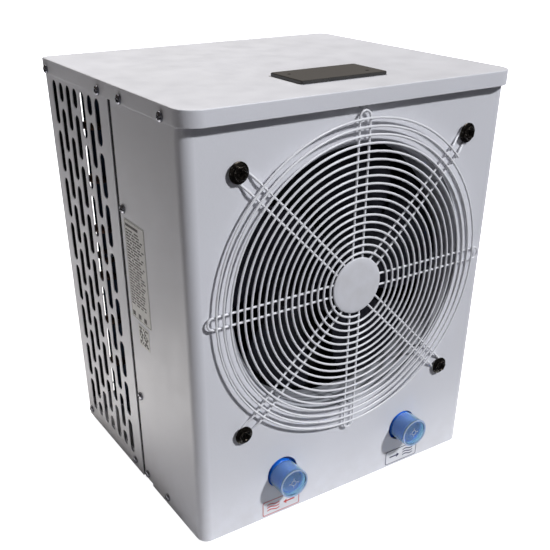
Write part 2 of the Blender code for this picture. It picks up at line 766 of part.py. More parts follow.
def build_coil(materials):
    """Finned evaporator across the back, with an end plate and return bends at each end, and its header."""
    box('evaporator_fins', (COIL_LEFT, depth(COIL_FRONT), COIL_LOW),
        (COIL_RIGHT, depth(COIL_BACK), COIL_HIGH), materials['blue_fin'])
    copper = materials['copper']
    for name, edge, direction in (('coil_end_left', COIL_LEFT, -1), ('coil_end_right', COIL_RIGHT, 1)):
        near = edge + direction * GAP
        far = near + direction * SHEET
        low_x, high_x = sorted((near, far))
        plate = box(name, (low_x, depth(COIL_FRONT), COIL_LOW), (high_x, depth(COIL_BACK), COIL_HIGH), copper)
        bm = bmesh.new()
        for bend in range(BEND_COUNT):
            add_return_bend(bm, far, direction, BEND_FIRST + bend * BEND_PITCH)
        boolean(plate, add_object(name + '_bends', bm, copper), 'UNION')


def build_compressor(materials):
    """Rotary compressor on three rubber grommets, with its terminal cover and suction accumulator."""
    black = materials['black_paint']
    x, back, radius = COMPRESSOR
    foot_z = COMPRESSOR_FOOT_Z
    centre = (x, depth(back), foot_z)
    profile = [(0, 4 * MM), (30 * MM, 5 * MM), (radius - 4 * MM, 14 * MM), (radius, 24 * MM),
               (radius, 176 * MM), (radius - 5 * MM, 190 * MM), (28 * MM, 202 * MM), (0, COMPRESSOR_H)]
    shell = turned('compressor', profile, centre, 'Z', 18, black)
    plate = [(x + 64 * MM * math.cos(a), depth(back) + 64 * MM * math.sin(a))
             for a in (math.radians(90 + 120 * k + e) for k in range(3) for e in (-14, 14))]
    boolean(shell, prism('compressor_foot', plate, foot_z + 8 * MM, foot_z + 11 * MM, black), 'UNION')
    for k in range(3):
        angle = math.radians(90 + 120 * k)
        aside = GROMMET_CIRCLE_R * math.cos(angle)
        behind = GROMMET_CIRCLE_R * math.sin(angle)
        place = (x + aside, depth(back) + behind, FLOOR_Z)
        top = 20 * MM - GAP
        grommet = [(0, GAP), (9 * MM, GAP), (7 * MM, 8 * MM), (9 * MM, top - 3 * MM), (9 * MM, top), (0, top)]
        turned('compressor_grommet_%d' % (k + 1), grommet, place, 'Z', 10, materials['rubber'])
    top_z = foot_z + COMPRESSOR_H + GAP
    cover = [(0, 0), (17 * MM, 0), (17 * MM, 16 * MM), (13 * MM, 20 * MM), (0, 20 * MM)]
    turned('terminal_cover', cover, (x, depth(back), top_z), 'Z', 14, materials['black_plastic'])
    tank = [(0, 62 * MM), (5 * MM, 62 * MM), (8 * MM, 70 * MM), (23 * MM, 82 * MM), (23 * MM, 172 * MM),
            (8 * MM, 186 * MM), (0, ACCUMULATOR_H)]
    turned('suction_accumulator', tank, (ACCUMULATOR_X, depth(back), foot_z), 'Z', 16, black)


def build_refrigerant_pipes(materials):
    """Copper lines between the compressor, the exchanger, the drier and the coil."""
    copper = materials['copper']
    x, back, _ = COMPRESSOR
    vessel_x, vessel_back, _ = EXCHANGER
    shell_top = COMPRESSOR_FOOT_Z + COMPRESSOR_H
    high_z = shell_top + REFRIGERANT_RISE
    stub_x = x - 34 * MM
    stub_y = depth(back + 8)
    route = [(stub_x, stub_y, shell_top - 2.5 * MM), (stub_x, stub_y, high_z),
             (vessel_x + 12 * MM, depth(vessel_back), high_z),
             (vessel_x + 12 * MM, depth(vessel_back), shell_top + 12 * MM)]
    pipe('discharge_pipe', route, 4 * MM, 12 * MM, 8, copper, steps=3)

    coil_y = depth(COIL_MIDDLE)
    tank_top = COMPRESSOR_FOOT_Z + ACCUMULATOR_H + GAP
    riser_x = COIL_RIGHT + 29 * MM
    entry_z = BEND_FIRST + 1.5 * BEND_PITCH
    route = [(ACCUMULATOR_X, depth(back), tank_top), (ACCUMULATOR_X, depth(back), tank_top + 30 * MM),
             (riser_x, coil_y, tank_top + 30 * MM), (riser_x, coil_y, entry_z),
             (COIL_RIGHT + SHEET + 2 * GAP, coil_y, entry_z)]
    pipe('suction_pipe', route, 5 * MM, 14 * MM, 8, copper, steps=3)

    line_y = depth(274)
    drier = [(0, 90 * MM), (4 * MM, 90 * MM), (11 * MM, 100 * MM), (11 * MM, 158 * MM), (4 * MM, 168 * MM),
             (0, 168 * MM)]
    turned('filter_drier', drier, (DRIER_X, line_y, FLOOR_Z), 'Z', 12, copper)
    feed_x = COIL_LEFT - 20 * MM
    feed_z = BEND_FIRST + 2.5 * BEND_PITCH
    route = [(DRIER_X, line_y, DRIER_TOP + GAP), (DRIER_X, line_y, feed_z), (feed_x, line_y, feed_z),
             (feed_x, coil_y, feed_z), (COIL_LEFT - SHEET - 2 * GAP, coil_y, feed_z)]
    pipe('liquid_pipe', route, 3 * MM, 8 * MM, 8, copper, steps=3)


# ---------------------------------------------------------------- water circuit

def build_exchanger(materials):
    """Upright water heat exchanger: a coil sealed in a plastic vessel."""
    x, back, radius = EXCHANGER
    profile = [(0, GAP), (radius - 6 * MM, GAP), (radius, 6 * MM), (radius, 196 * MM),
               (radius - 10 * MM, 210 * MM), (14 * MM, 216 * MM), (0, 216 * MM)]
    vessel = turned('heat_exchanger', profile, (x, depth(back), FLOOR_Z), 'Z', 18, materials['grey_plastic'])
    mouth = PORT_R - PIPE_WALL - 2.5 * GAP
    for name, nozzle_x, z in (('inlet_nozzle', INLET_X, INLET_Z), ('outlet_nozzle', OUTLET_X, OUTLET_Z)):
        nozzle = cylinder(name, (nozzle_x, depth(back), z), 'Y', mouth, -radius - 12 * MM, -20 * MM, 12,
                          materials['grey_plastic'])
        boolean(vessel, nozzle, 'UNION')


def build_water_ports(materials):
    """Ports with a shoulder and a collar, and the push-on caps in front of them."""
    bore = PORT_R - PIPE_WALL
    inner = PORT_R + GAP
    port = [(bore, -19 * MM), (PORT_R - 0.6 * MM, -19 * MM), (PORT_R, -18 * MM), (PORT_R, -1 * MM),
            (PORT_SHOULDER_R, -0.8 * MM), (PORT_SHOULDER_R, 8 * MM), (COLLAR_R, 8 * MM), (COLLAR_R, 18 * MM),
            (PORT_R, 18 * MM), (PORT_R, 22 * MM), (bore, 22 * MM)]
    cap = [(0, -CAP_REACH + 1.2 * MM), (CAP_R_TIP - 1.6 * MM, -CAP_REACH + 1.2 * MM),
           (CAP_R_TIP - 1.2 * MM, -CAP_REACH), (CAP_R_TIP, -CAP_REACH), (CAP_R_BASE, -1.4 * MM),
           (inner + 0.2 * MM, -1.4 * MM), (inner, -CAP_REACH + 3 * MM), (0, -CAP_REACH + 3 * MM)]
    for word, (x, z) in PORT_AXES.items():
        centre = (x, FRONT_Y, z)
        turned(word + '_port', port, centre, 'Y', 18, materials['port_blue'], ring=True)
        turned(word + '_cap', cap, centre, 'Y', 18, materials['cap_plastic'])


def build_water_pipes(materials):
    """Pipes from the ports to the heat exchanger; the inlet's has a hole for the flow switch."""
    white = materials['white_plastic']
    _, vessel_back, vessel_r = EXCHANGER
    vessel_y = depth(vessel_back) - vessel_r
    start = depth(22) + GAP
    turn_y = depth(96)
    port_x, port_z = PORT_AXES['inlet']
    route = [(port_x, start, port_z), (port_x, turn_y, port_z), (INLET_X, turn_y, INLET_Z),
             (INLET_X, vessel_y, INLET_Z)]
    inlet = pipe('inlet_water_pipe', route, PORT_R, 24 * MM, 14, white, wall=PIPE_WALL, steps=3)
    cut_cylinder(inlet, (port_x, depth(FLOW_BACK), port_z), 'Z', 6 * MM, 4 * MM, 24 * MM, 10, white)
    port_x, port_z = PORT_AXES['outlet']
    route = [(OUTLET_X, vessel_y - GAP, OUTLET_Z), (OUTLET_X, depth(100), OUTLET_Z),
             (port_x, depth(78), port_z), (port_x, start, port_z)]
    pipe('outlet_water_pipe', route, PORT_R, 22 * MM, 14, white, wall=PIPE_WALL, steps=3)


def build_flow_switch(materials):
    """Paddle switch on the inlet pipe: the water swings the paddle, whose lever makes the contact."""
    plastic = materials['black_plastic']
    x, axis_z = PORT_AXES['inlet']
    y = depth(FLOW_BACK)
    half = FLOW_BOX_HALF
    low_z = axis_z + PORT_R + GAP
    high_z = low_z + FLOW_BOX_H
    wall = 3 * MM
    room = half - wall
    body = box('flow_switch_body', (x - half, y - half, low_z), (x + half, y + half, high_z), plastic)
    boolean(body, box('flow_pocket_tool', (x - room, y - room, low_z - wall),
                      (x + room, y + room, high_z - wall), plastic))
    steel = materials['zinc_steel']
    pivot = (x, y, axis_z + FLOW_PIVOT_RISE)
    paddle = cylinder('flow_paddle', pivot, 'X', 1.6 * MM, -11.5 * MM, 11.5 * MM, 10, steel)
    lever = box('flow_lever', (x - 2 * MM, y - 0.6 * MM, axis_z + 4 * MM),
                (x + 2 * MM, y + 0.6 * MM, pivot[2]), steel)
    blade = cylinder('flow_blade', (x, y, axis_z), 'Y', 8 * MM, -0.8 * MM, 0.8 * MM, 12, steel)
    boolean(paddle, lever, 'UNION')
    boolean(paddle, blade, 'UNION')


# ---------------------------------------------------------------- electrics and controls

def build_electrics(materials):
    """Electric box under the lid with its board, capacitor and cover."""
    steel = materials['galvanised']
    low = (BOX_LOW[0], depth(BOX_LOW[1]), BOX_LOW[2])
    high = (BOX_HIGH[0], depth(BOX_HIGH[1]), BOX_HIGH[2])
    tray = box('electric_box', low, high, steel)
    wall = 1.5 * MM
    boolean(tray, box('electric_pocket_tool', (low[0] + wall, low[1] - 5 * MM, low[2] + wall),
                      (high[0] - wall, high[1] - wall, high[2] - wall), steel))
    box('electric_box_cover', (low[0], low[1] - GAP - wall, low[2]), (high[0], low[1] - GAP, high[2]), steel)
    board_y = high[1] - wall - 8 * MM
    box('control_board', (low[0] + 8 * MM, board_y, low[2] + 8 * MM),
        (high[0] - 8 * MM, board_y + 1.6 * MM, high[2] - 8 * MM), materials['circuit_board'])
    can_place = (low[0] + 26 * MM, low[1] + 30 * MM, low[2] + wall + GAP)
    cylinder('run_capacitor', can_place, 'Z', 17 * MM, 0, 75 * MM, 16, materials['aluminium'], edge=2 * MM)


def build_mains_cable(materials):
    """Mains cable from the electric box down to its gland in the rear flange."""
    plastic = materials['black_plastic']
    place = (GLAND_X, REAR_Y, GLAND_Z)
    hole = CORD_R + GAP
    thread = GLAND_THREAD_R
    gland = [(hole, -9 * MM), (thread, -9 * MM), (thread, GAP), (11 * MM, GAP), (11 * MM, 7 * MM),
             (9.5 * MM, 8 * MM), (7.5 * MM, GLAND_REACH), (hole, GLAND_REACH)]
    turned('cable_gland', gland, place, 'Y', 12, plastic, ring=True)
    hex_nut('gland_nut', place, 12 * MM, thread + GAP, -7 * MM, -SHEET - GAP, plastic)
    route = [(GLAND_X, depth(CORD_DROP), BOX_LOW[2] + 20 * MM), (GLAND_X, depth(CORD_DROP), GLAND_Z),
             (GLAND_X, REAR_Y + GLAND_REACH, GLAND_Z)]
    pipe('power_cord', route, CORD_R, 16 * MM, 8, plastic, steps=3)


def build_controller(materials):
    """Dark glossy controller plate on the lid, its display module below and its two small screws."""
    gloss = materials['smoked_plastic']
    y = FRONT_Y + CONTROL_SETBACK
    seat_z = LID_Z + GAP
    high_z = seat_z + CONTROL_T
    low = (CONTROL_X - CONTROL_W / 2, y)
    high = (CONTROL_X + CONTROL_W / 2, y + CONTROL_D)
    chamfer = 0.8 * MM

    def ring(inset, z):
        corner = CONTROL_CORNER_R - inset
        outline = rounded_rectangle([v + inset for v in low], [v - inset for v in high], corner, corner, 3)
        return lift(outline, z)

    middle = y + CONTROL_D / 2
    loops = [ring(0, seat_z), ring(0, high_z - chamfer), ring(chamfer, high_z)]
    fascia = loft('controller_fascia', loops, gloss, (CONTROL_X, middle, seat_z))
    half_w = MODULE_W / 2
    half_d = MODULE_D / 2
    box('display_module', (CONTROL_X - half_w, middle - half_d, LID_Z - MODULE_H),
        (CONTROL_X + half_w, middle + half_d, LID_Z), materials['black_plastic'],
        origin=(CONTROL_X, middle, LID_Z))
    cable_z = LID_Z - 12 * MM
    back_y = middle + half_d + GAP
    low_z = cable_z - 30 * MM
    route = [(CONTROL_X, back_y, cable_z), (CONTROL_X, depth(112), cable_z), (90 * MM, depth(112), low_z),
             (90 * MM, depth(BOX_LOW[1]) - SHEET - 2 * GAP, low_z)]
    pipe('controller_cable', route, 2.5 * MM, 14 * MM, 6, materials['black_plastic'], steps=3)
    screw = [(0, -1.6 * MM), (1.7 * MM, -1.6 * MM), (1.7 * MM, 0.1 * MM), (0, 0.3 * MM)]
    for name, dx, dy in (('fascia_screw_left', -42, 10), ('fascia_screw_right', 38, -13.5)):
        place = (CONTROL_X + dx * MM, middle + dy * MM, high_z)
        turned(name, screw, place, 'Z', 10, materials['dark_zinc'])
        cut_cylinder(fascia, place, 'Z', 2 * MM, -1.9 * MM, 2 * MM, 10, gloss)


def build_seam_screws(materials):
    """Two pan-head screws that hold the left wing to the frame beside the seam."""
    head = [(0, -1.5 * MM), (2.8 * MM, -1.4 * MM), (4.3 * MM, -0.4 * MM), (4.3 * MM, 0), (0, 0)]
    for name, z in (('seam_screw_upper', BASE_Z + 351 * MM), ('seam_screw_lower', BASE_Z + 125 * MM)):
        place = (-HALF_W - GAP, FRONT_Y + WING_D - 8.4 * MM, z)
        turned(name, head, place, 'X', 12, materials['zinc_steel'])


def build_labels(materials):
    """Thin stickers: the rating plate on the left wing and one under each port."""
    thick = 0.2 * MM
    gap = 0.15 * MM
    paper = materials['label']
    y = FRONT_Y + 92.1 * MM
    box('rating_label', (-HALF_W - gap - thick, y, BASE_Z + 229.6 * MM),
        (-HALF_W - gap, y + 47.9 * MM, BASE_Z + 341.9 * MM), paper)
    for name, x in (('outlet_label', -90.8 * MM), ('inlet_label', 94.8 * MM)):
        box(name, (x - 26.4 * MM, FRONT_Y - gap - thick, BASE_Z + 2.6 * MM),
            (x + 26.4 * MM, FRONT_Y - gap, BASE_Z + 24.3 * MM), paper)


def make_materials():
    """Every material of the unit, by name."""
    table = {
        'white_paint': ((0.78, 0.79, 0.82), 0.45, 0.0),
        'guard_wire': ((0.85, 0.85, 0.87), 0.35, 0.0),
        'galvanised': ((0.62, 0.63, 0.64), 0.4, 0.9),
        'zinc_steel': ((0.7, 0.7, 0.7), 0.3, 1.0),
        'dark_zinc': ((0.12, 0.11, 0.1), 0.4, 0.9),
        'aluminium': ((0.75, 0.75, 0.76), 0.35, 1.0),
        'copper': ((0.72, 0.35, 0.2), 0.35, 1.0),
        'blue_fin': ((0.03, 0.14, 0.3), 0.45, 0.4),
        'black_paint': ((0.02, 0.02, 0.02), 0.5, 0.0),
        'black_plastic': ((0.02, 0.02, 0.022), 0.5, 0.0),
        'grey_plastic': ((0.18, 0.18, 0.19), 0.5, 0.0),
        'white_plastic': ((0.8, 0.8, 0.78), 0.45, 0.0),
        'rubber': ((0.03, 0.03, 0.03), 0.85, 0.0),
        'port_blue': ((0.02, 0.1, 0.55), 0.4, 0.0),
        'circuit_board': ((0.03, 0.2, 0.08), 0.5, 0.0),
        'smoked_plastic': ((0.02, 0.02, 0.02), 0.08, 0.0),
        'label': ((0.75, 0.73, 0.64), 0.6, 0.0),
    }
    made = {name: make_material(name, *values) for name, values in table.items()}
    made['cap_plastic'] = make_material('cap_plastic', (0.55, 0.68, 0.9), 0.3, 0.0, alpha=0.6)
    return made


def main():
    clear_scene()
    materials = make_materials()
    build_base_pan(materials)
    build_feet(materials)
    build_front_panel(materials)
    build_left_side_panel(materials)
    build_right_side_panel(materials)
    build_top_lid(materials)
    build_rear_guard(materials)
    build_fan_grille(materials)
    build_grille_bolts(materials)
    build_orifice_ring(materials)
    build_impeller(materials)
    build_fan_drive(materials)
    build_coil(materials)
    build_compressor(materials)
    build_refrigerant_pipes(materials)
    build_exchanger(materials)
    build_water_ports(materials)
    build_water_pipes(materials)
    build_flow_switch(materials)
    build_electrics(materials)
    build_mains_cable(materials)
    build_controller(materials)
    build_seam_screws(materials)
    build_labels(materials)


main()
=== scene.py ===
"""Looks of the pool heat pump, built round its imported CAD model.

Metres, +Z up, front towards -Y. Places and outer sizes come from the CAD nodes' boxes and joints.
The sizes of details that the CAD leaves out are named below.
"""

import json
import math

import bmesh
import bpy
from mathutils import Matrix, Vector


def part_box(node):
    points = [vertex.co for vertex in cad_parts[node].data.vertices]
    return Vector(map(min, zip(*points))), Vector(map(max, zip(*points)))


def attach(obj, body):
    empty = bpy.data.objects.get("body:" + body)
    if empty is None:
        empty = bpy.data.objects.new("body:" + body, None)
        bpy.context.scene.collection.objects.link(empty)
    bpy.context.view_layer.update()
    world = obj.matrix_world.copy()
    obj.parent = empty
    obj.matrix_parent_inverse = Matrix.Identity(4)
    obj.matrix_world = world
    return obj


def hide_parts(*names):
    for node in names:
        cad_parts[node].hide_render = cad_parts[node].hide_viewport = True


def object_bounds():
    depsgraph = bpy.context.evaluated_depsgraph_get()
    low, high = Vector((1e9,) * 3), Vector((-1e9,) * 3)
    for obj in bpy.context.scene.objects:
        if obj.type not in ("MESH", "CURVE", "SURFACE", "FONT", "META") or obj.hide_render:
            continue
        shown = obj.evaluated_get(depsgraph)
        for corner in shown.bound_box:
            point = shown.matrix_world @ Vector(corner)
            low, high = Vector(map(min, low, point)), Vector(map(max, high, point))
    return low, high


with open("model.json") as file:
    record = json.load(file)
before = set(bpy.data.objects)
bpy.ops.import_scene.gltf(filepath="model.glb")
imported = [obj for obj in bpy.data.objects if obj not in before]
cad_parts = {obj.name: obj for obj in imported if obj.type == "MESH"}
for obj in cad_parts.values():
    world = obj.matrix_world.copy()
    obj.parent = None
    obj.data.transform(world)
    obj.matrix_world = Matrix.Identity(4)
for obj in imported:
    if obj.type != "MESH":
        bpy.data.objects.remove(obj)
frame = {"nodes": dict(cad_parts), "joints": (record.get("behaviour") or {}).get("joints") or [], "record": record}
CAD_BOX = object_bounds()

MM = 0.001
CABINET = "cabinet"
SMOOTH_ANGLE = math.radians(38)

# Planes and corners read from the CAD
FRONT_LOW, FRONT_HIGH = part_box("front_panel")
SIDE_LOW, SIDE_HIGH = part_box("left_side_panel")
LID_LOW, LID_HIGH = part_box("top_lid")
RIGHT_LOW, RIGHT_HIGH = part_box("right_side_panel")
FRONT_Y = FRONT_LOW.y
REAR_Y = RIGHT_HIGH.y
HALF_W = FRONT_HIGH.x
BASE_Z = FRONT_LOW.z
PANEL_TOP = FRONT_HIGH.z
JOINT_AT = {joint["name"]: Vector(joint.get("pos_m") or (0, 0, 0)) for joint in frame["joints"]}
FAN_AT = JOINT_AT["fan_spin"]

# Sheet metal
SHEET = 1.5 * MM
SIDE_SHEET = 0.8 * MM
FRONT_BEND_R = 13 * MM
REAR_BEND_R = 6 * MM
BEND_STEPS = 14
LID_FRONT_R = 22 * MM
LID_REAR_R = 10 * MM
LID_EDGE = 1.1 * MM
LID_EDGE_STEPS = 7
SEAM_MORE = 1.8 * MM            # of the open joint, so that it shows past the wing's edge
# Painted shade: the dark strips behind the open joints
SHADE_STRIP_DEPTH = 5 * MM
SHADE_STRIP_LAP = 6 * MM
LEFT_FLANGE_W = 35 * MM
RIGHT_FLANGE_W = 78 * MM
OPENING_R = 151 * MM
THROAT_R = 146 * MM             # of the ring round the fan
PORT_HOLE_R = 20.15 * MM
PORT_HOLES = (Vector((-89.1, 0, 58.1)) * MM, Vector((90.9, 0, 58.1)) * MM)   # from the panel's foot
NOTCH_W = 19.5 * MM
NOTCH_H = 5.5 * MM
GLAND_HOLE_R = 8 * MM
CUT = 5 * MM                    # how far a cutter reaches past a sheet

# Slots of the left panel
SLOT_COLUMNS = 7
SLOT_COLUMN_PITCH = 20.4 * MM
SLOT_FIRST_COLUMN = 28.7 * MM   # from the rear corner
SLOT_W = 12.5 * MM
SLOT_L = 47.9 * MM
SLOT_PITCH = 55.1 * MM
SLOT_SHORT_L = 20.5 * MM
SLOT_TOP = 453.3 * MM           # above the foot of the panel
SLOT_ROWS = 8

# Coil
FIN_PITCH = 2.0 * MM
COIL_FLANGE_W = 10.2 * MM       # of each coil end plate, bent outwards at the rear
RETURN_BENDS = 6
RETURN_BEND_PITCH = 62.8 * MM
RETURN_BEND_LOW = 85.6 * MM
RETURN_BEND_R = 9 * MM
RETURN_PIPE_R = 4.5 * MM

# Guard
WIRE_R = 1.25 * MM
WIRE_SIDES = 10
WELD_R = 1.4 * MM
RING_STAND = 6.6 * MM           # from the panel to the middle of the spiral's wire
SPOKE_STAND = RING_STAND - 1.8 * WIRE_R
RING_OFFSET = (0.6 * MM, -1.5 * MM)   # the wound wire sits a little off the opening's centre
RING_START_R = 175.8 * MM
RING_START_ANGLE = math.radians(43)
RING_PITCH = 8.03 * MM
RING_END_R = 34 * MM
DISC_R = 31.4 * MM
SPOKE_GAP = 13 * MM
SPOKE_ROOT_R = DISC_R - 6 * MM
SPOKE_BEND_R = 6 * MM
SPOKE_TIP_R = 182 * MM
SPOKE_COUNT = 8

# Screws: along the body from its middle, in mm, and on the rear from its middle and foot
LID_SCREWS = (151.3, 4.5, -47.9, -135.1)
FOOT_SCREWS = (152.2, 8.1, -28.1, -83.2)
LID_REAR_SCREWS = (-175, -60, 60, 175)
REAR_SCREWS = ((-177, 60), (-177, 235), (-177, 410), (177, 110), (177, 235), (177, 410))
LID_SCREW_DROP = 10.9 * MM
FOOT_SCREW_RISE = 11.8 * MM
SCREW_GAP = 0.1 * MM

# Labels
STICKER_THICK = 0.2 * MM
PRINT_THICK = 0.06 * MM
PRINT_ROWS = 27
PRINT_PITCH = 3.2 * MM

# Impeller
BLADE_COUNT = 5
BLADE_STEPS = 14
BLADE_TIP_R = 139 * MM
HUB_R = 42 * MM


# ---------------- mesh tools

def full_turn(count):
    return [math.tau * k / count for k in range(count)]


def degrees(first, last, step):
    """Angles from the first to the last, given in degrees and returned in radians."""
    return [math.radians(angle) for angle in range(first, last + step, step)]


def turned(profile, sides, closed=False, bm=None):
    """Turn (radius, height) points about Z; a radius of 0 is a pole, and a closed profile makes a ring."""
    if bm is None:
        bm = bmesh.new()
    rows = []
    for radius, height in profile:
        if radius == 0:
            rows.append([bm.verts.new((0, 0, height))])
            continue
        ring = [(radius * math.cos(a), radius * math.sin(a), height) for a in full_turn(sides)]
        rows.append([bm.verts.new(point) for point in ring])
    skin(bm, rows, closed)
    return bm


def skin(bm, rows, closed=False):
    """Faces between rows of vertices; a row of one vertex is a pole."""
    pairs = list(zip(rows, rows[1:]))
    if closed:
        pairs.append((rows[-1], rows[0]))
    for low, high in pairs:
        count = max(len(low), len(high))
        for i in range(count):
            j = (i + 1) % count
            ring = [low[i % len(low)], low[j % len(low)], high[j % len(high)], high[i % len(high)]]
            bm.faces.new(list(dict.fromkeys(ring)))
    if not closed:
        for row in (rows[0], rows[-1]):
            if len(row) > 2:
                bm.faces.new(row)


def sweep(bm, path, radius, sides):
    """Round wire along a path, without twist, with its ends capped."""
    normal = (path[1] - path[0]).orthogonal().normalized()
    rows = []
    for i, point in enumerate(path):
        tangent = (path[min(i + 1, len(path) - 1)] - path[max(i - 1, 0)]).normalized()
        normal = (normal - tangent * normal.dot(tangent)).normalized()
        side = tangent.cross(normal)
        spokes = [normal * math.cos(a) + side * math.sin(a) for a in full_turn(sides)]
        rows.append([bm.verts.new(point + spoke * radius) for spoke in spokes])
    skin(bm, rows)


def rounded_path(corners, bend, steps=6):
    """Centre line through the corners, with an arc of the bend radius at each inner corner."""
    points = [Vector(corners[0])]
    for before, corner, after in zip(corners, corners[1:], corners[2:]):
        corner = Vector(corner)
        back = (Vector(before) - corner).normalized()
        ahead = (Vector(after) - corner).normalized()
        half = back.angle(ahead) / 2
        reach = bend / math.tan(half)
        middle = corner + (back + ahead).normalized() * bend / math.sin(half)
        first = corner + back * reach - middle
        last = corner + ahead * reach - middle
        angle = first.angle(last)
        for step in range(steps + 1):
            share = step / steps
            spoke = first * math.sin((1 - share) * angle) + last * math.sin(share * angle)
            points.append(middle + spoke / math.sin(angle))
    points.append(Vector(corners[-1]))
    return points


def arc(centre, radius, start, end, steps):
    """Points of an arc in a plane; angles in degrees."""
    angles = [math.radians(start + (end - start) * k / steps) for k in range(steps + 1)]
    return [(centre[0] + radius * math.cos(a), centre[1] + radius * math.sin(a)) for a in angles]


def rounded_rectangle(low, high, low_r, high_r=None, steps=BEND_STEPS):
    """Outline with round corners: one radius at the low side of the second axis, one at its high side."""
    high_r = low_r if high_r is None else high_r
    corners = [(low[0] + low_r, low[1] + low_r, low_r), (high[0] - low_r, low[1] + low_r, low_r),
               (high[0] - high_r, high[1] - high_r, high_r), (low[0] + high_r, high[1] - high_r, high_r)]
    points = []
    for k, (x, y, radius) in enumerate(corners):
        points += arc((x, y), radius, 180 + 90 * k, 270 + 90 * k, steps)
    return points


def extrude_outline(bm, outline, low, high, axis="Z"):
    """Solid between two planes square to an axis, on an outline in that axis's plane."""
    def point(a, b, c):
        return {"X": (c, a, b), "Y": (a, c, b), "Z": (a, b, c)}[axis]

    rows = [[bm.verts.new(point(a, b, c)) for a, b in outline] for c in (low, high)]
    skin(bm, rows)


def rectangle(low, high):
    return [(low[0], low[1]), (high[0], low[1]), (high[0], high[1]), (low[0], high[1])]


def extruded(outline, low, high, axis="Z"):
    bm = bmesh.new()
    extrude_outline(bm, outline, low, high, axis)
    return bm


def block(low, high):
    return extruded(rectangle(low, high), low[2], high[2])


def mesh_of(bm, name):
    """Close a bmesh into a mesh whose faces point out."""
    bmesh.ops.recalc_face_normals(bm, faces=bm.faces[:])
    mesh = bpy.data.meshes.new(name)
    bm.to_mesh(mesh)
    bm.free()
    return mesh


def new_object(name, data, at=None):
    made = bpy.data.objects.new(name, data)
    if at is not None:
        made.matrix_world = at
    bpy.context.scene.collection.objects.link(made)
    return made


def piece(name, shape, slot, body=CABINET, replaced=(), finish=None, at=None):
    """A shown piece: its shape, its finish, the body it rides on and the CAD nodes it stands for."""
    mesh = mesh_of(shape, name) if isinstance(shape, bmesh.types.BMesh) else shape
    mesh.shade_smooth()
    mesh.set_sharp_from_angle(angle=SMOOTH_ANGLE)
    mesh.materials.clear()
    mesh.materials.append(finishes[finish or slot])
    made = new_object(name, mesh, at)
    normals = made.modifiers.new("flat_faces_stay_flat", "WEIGHTED_NORMAL")
    normals.keep_sharp = True
    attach(made, body)
    if replaced:
        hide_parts(*replaced)
    return made


def combine(mesh, others, operation="DIFFERENCE"):
    """The mesh cut by, or joined with, the others."""
    target = new_object("target", mesh)
    helpers = [target]
    for other in others:
        tool = new_object("tool", other)
        helpers.append(tool)
        modifier = target.modifiers.new("tool", "BOOLEAN")
        modifier.operation = operation
        modifier.solver = "EXACT"
        modifier.object = tool
    result = bpy.data.meshes.new_from_object(target.evaluated_get(bpy.context.evaluated_depsgraph_get()))
    result.name = mesh.name
    for helper in helpers:
        bpy.data.objects.remove(helper)
    return result


def hole_cutter(centre, radius, y, sides):
    """Cylinder through a sheet that lies at y."""
    outline = [(centre.x + radius * math.cos(a), centre.z + radius * math.sin(a)) for a in full_turn(sides)]
    return mesh_of(extruded(outline, y - CUT, y + CUT, "Y"), "hole")


def facing(at, direction):
    """Placement that puts a piece's +Z along a direction."""
    return Matrix.Translation(at) @ Vector(direction).to_track_quat("Z", "Y").to_matrix().to_4x4()


# ---------------- materials

def feed(tree, socket, value):
    """Set a socket, or link it when the value is another node's output."""
    if isinstance(value, bpy.types.NodeSocket):
        tree.links.new(value, socket)
    else:
        socket.default_value = value


def node(tree, kind, **inputs):
    """A shader node with inputs set by name."""
    made = tree.nodes.new(kind)
    for key, value in inputs.items():
        feed(tree, made.inputs[key.replace("_", " ")], value)
    return made


def noise(tree, scale, detail=2.0, stretch=(1, 1, 1)):
    """Noise in the piece's own coordinates; the scale is in cells per metre."""
    place = node(tree, "ShaderNodeTexCoord").outputs["Object"]
    mapped = node(tree, "ShaderNodeMapping", Vector=place, Scale=stretch).outputs["Vector"]
    return node(tree, "ShaderNodeTexNoise", Vector=mapped, Scale=scale, Detail=detail).outputs["Fac"]


def remap(tree, value, low, high, to_low=0.0, to_high=1.0):
    span = {"From_Min": low, "From_Max": high, "To_Min": to_low, "To_Max": to_high}
    return node(tree, "ShaderNodeMapRange", Value=value, **span).outputs["Result"]


def mix_colour(tree, share, first, second):
    """Mix two colours; the numbers are the places of the colour version's sockets."""
    made = tree.nodes.new("ShaderNodeMix")
    made.data_type = "RGBA"
    feed(tree, made.inputs[0], share)
    for index, value in ((6, first), (7, second)):
        feed(tree, made.inputs[index], value if isinstance(value, bpy.types.NodeSocket) else (*value, 1))
    return made.outputs[2]


def multiply(tree, first, second):
    made = tree.nodes.new("ShaderNodeMath")
    made.operation = "MULTIPLY"
    feed(tree, made.inputs[0], first)
    feed(tree, made.inputs[1], second)
    return made.outputs[0]


def height_of_point(tree):
    place = node(tree, "ShaderNodeTexCoord").outputs["Object"]
    return node(tree, "ShaderNodeSeparateXYZ", Vector=place).outputs["Z"]


def shader_of(made):
    return made.node_tree.nodes["Principled BSDF"]


def surface(name, colour, second, roughness, metallic=0.0, patches=25, grain=900, depth=0.06,
            stretch=(1, 1, 1)):
    """A material that wanders between two colours, with uneven gloss and a fine grain, its depth in mm."""
    made = bpy.data.materials.new(name)
    made.use_nodes = True
    tree = made.node_tree
    shader = shader_of(made)
    tint = mix_colour(tree, remap(tree, noise(tree, patches, 4.0), 0.35, 0.65), colour, second)
    gloss = remap(tree, noise(tree, patches * 4, 3.0), 0.3, 0.7, roughness * 0.85, roughness * 1.15)
    height = noise(tree, grain, 3.0, stretch)
    bump = node(tree, "ShaderNodeBump", Height=height, Distance=depth * MM, Strength=1.0)
    tree.links.new(tint, shader.inputs["Base Color"])
    tree.links.new(gloss, shader.inputs["Roughness"])
    tree.links.new(bump.outputs["Normal"], shader.inputs["Normal"])
    shader.inputs["Metallic"].default_value = metallic
    made.diffuse_color = (*colour, 1)
    return made


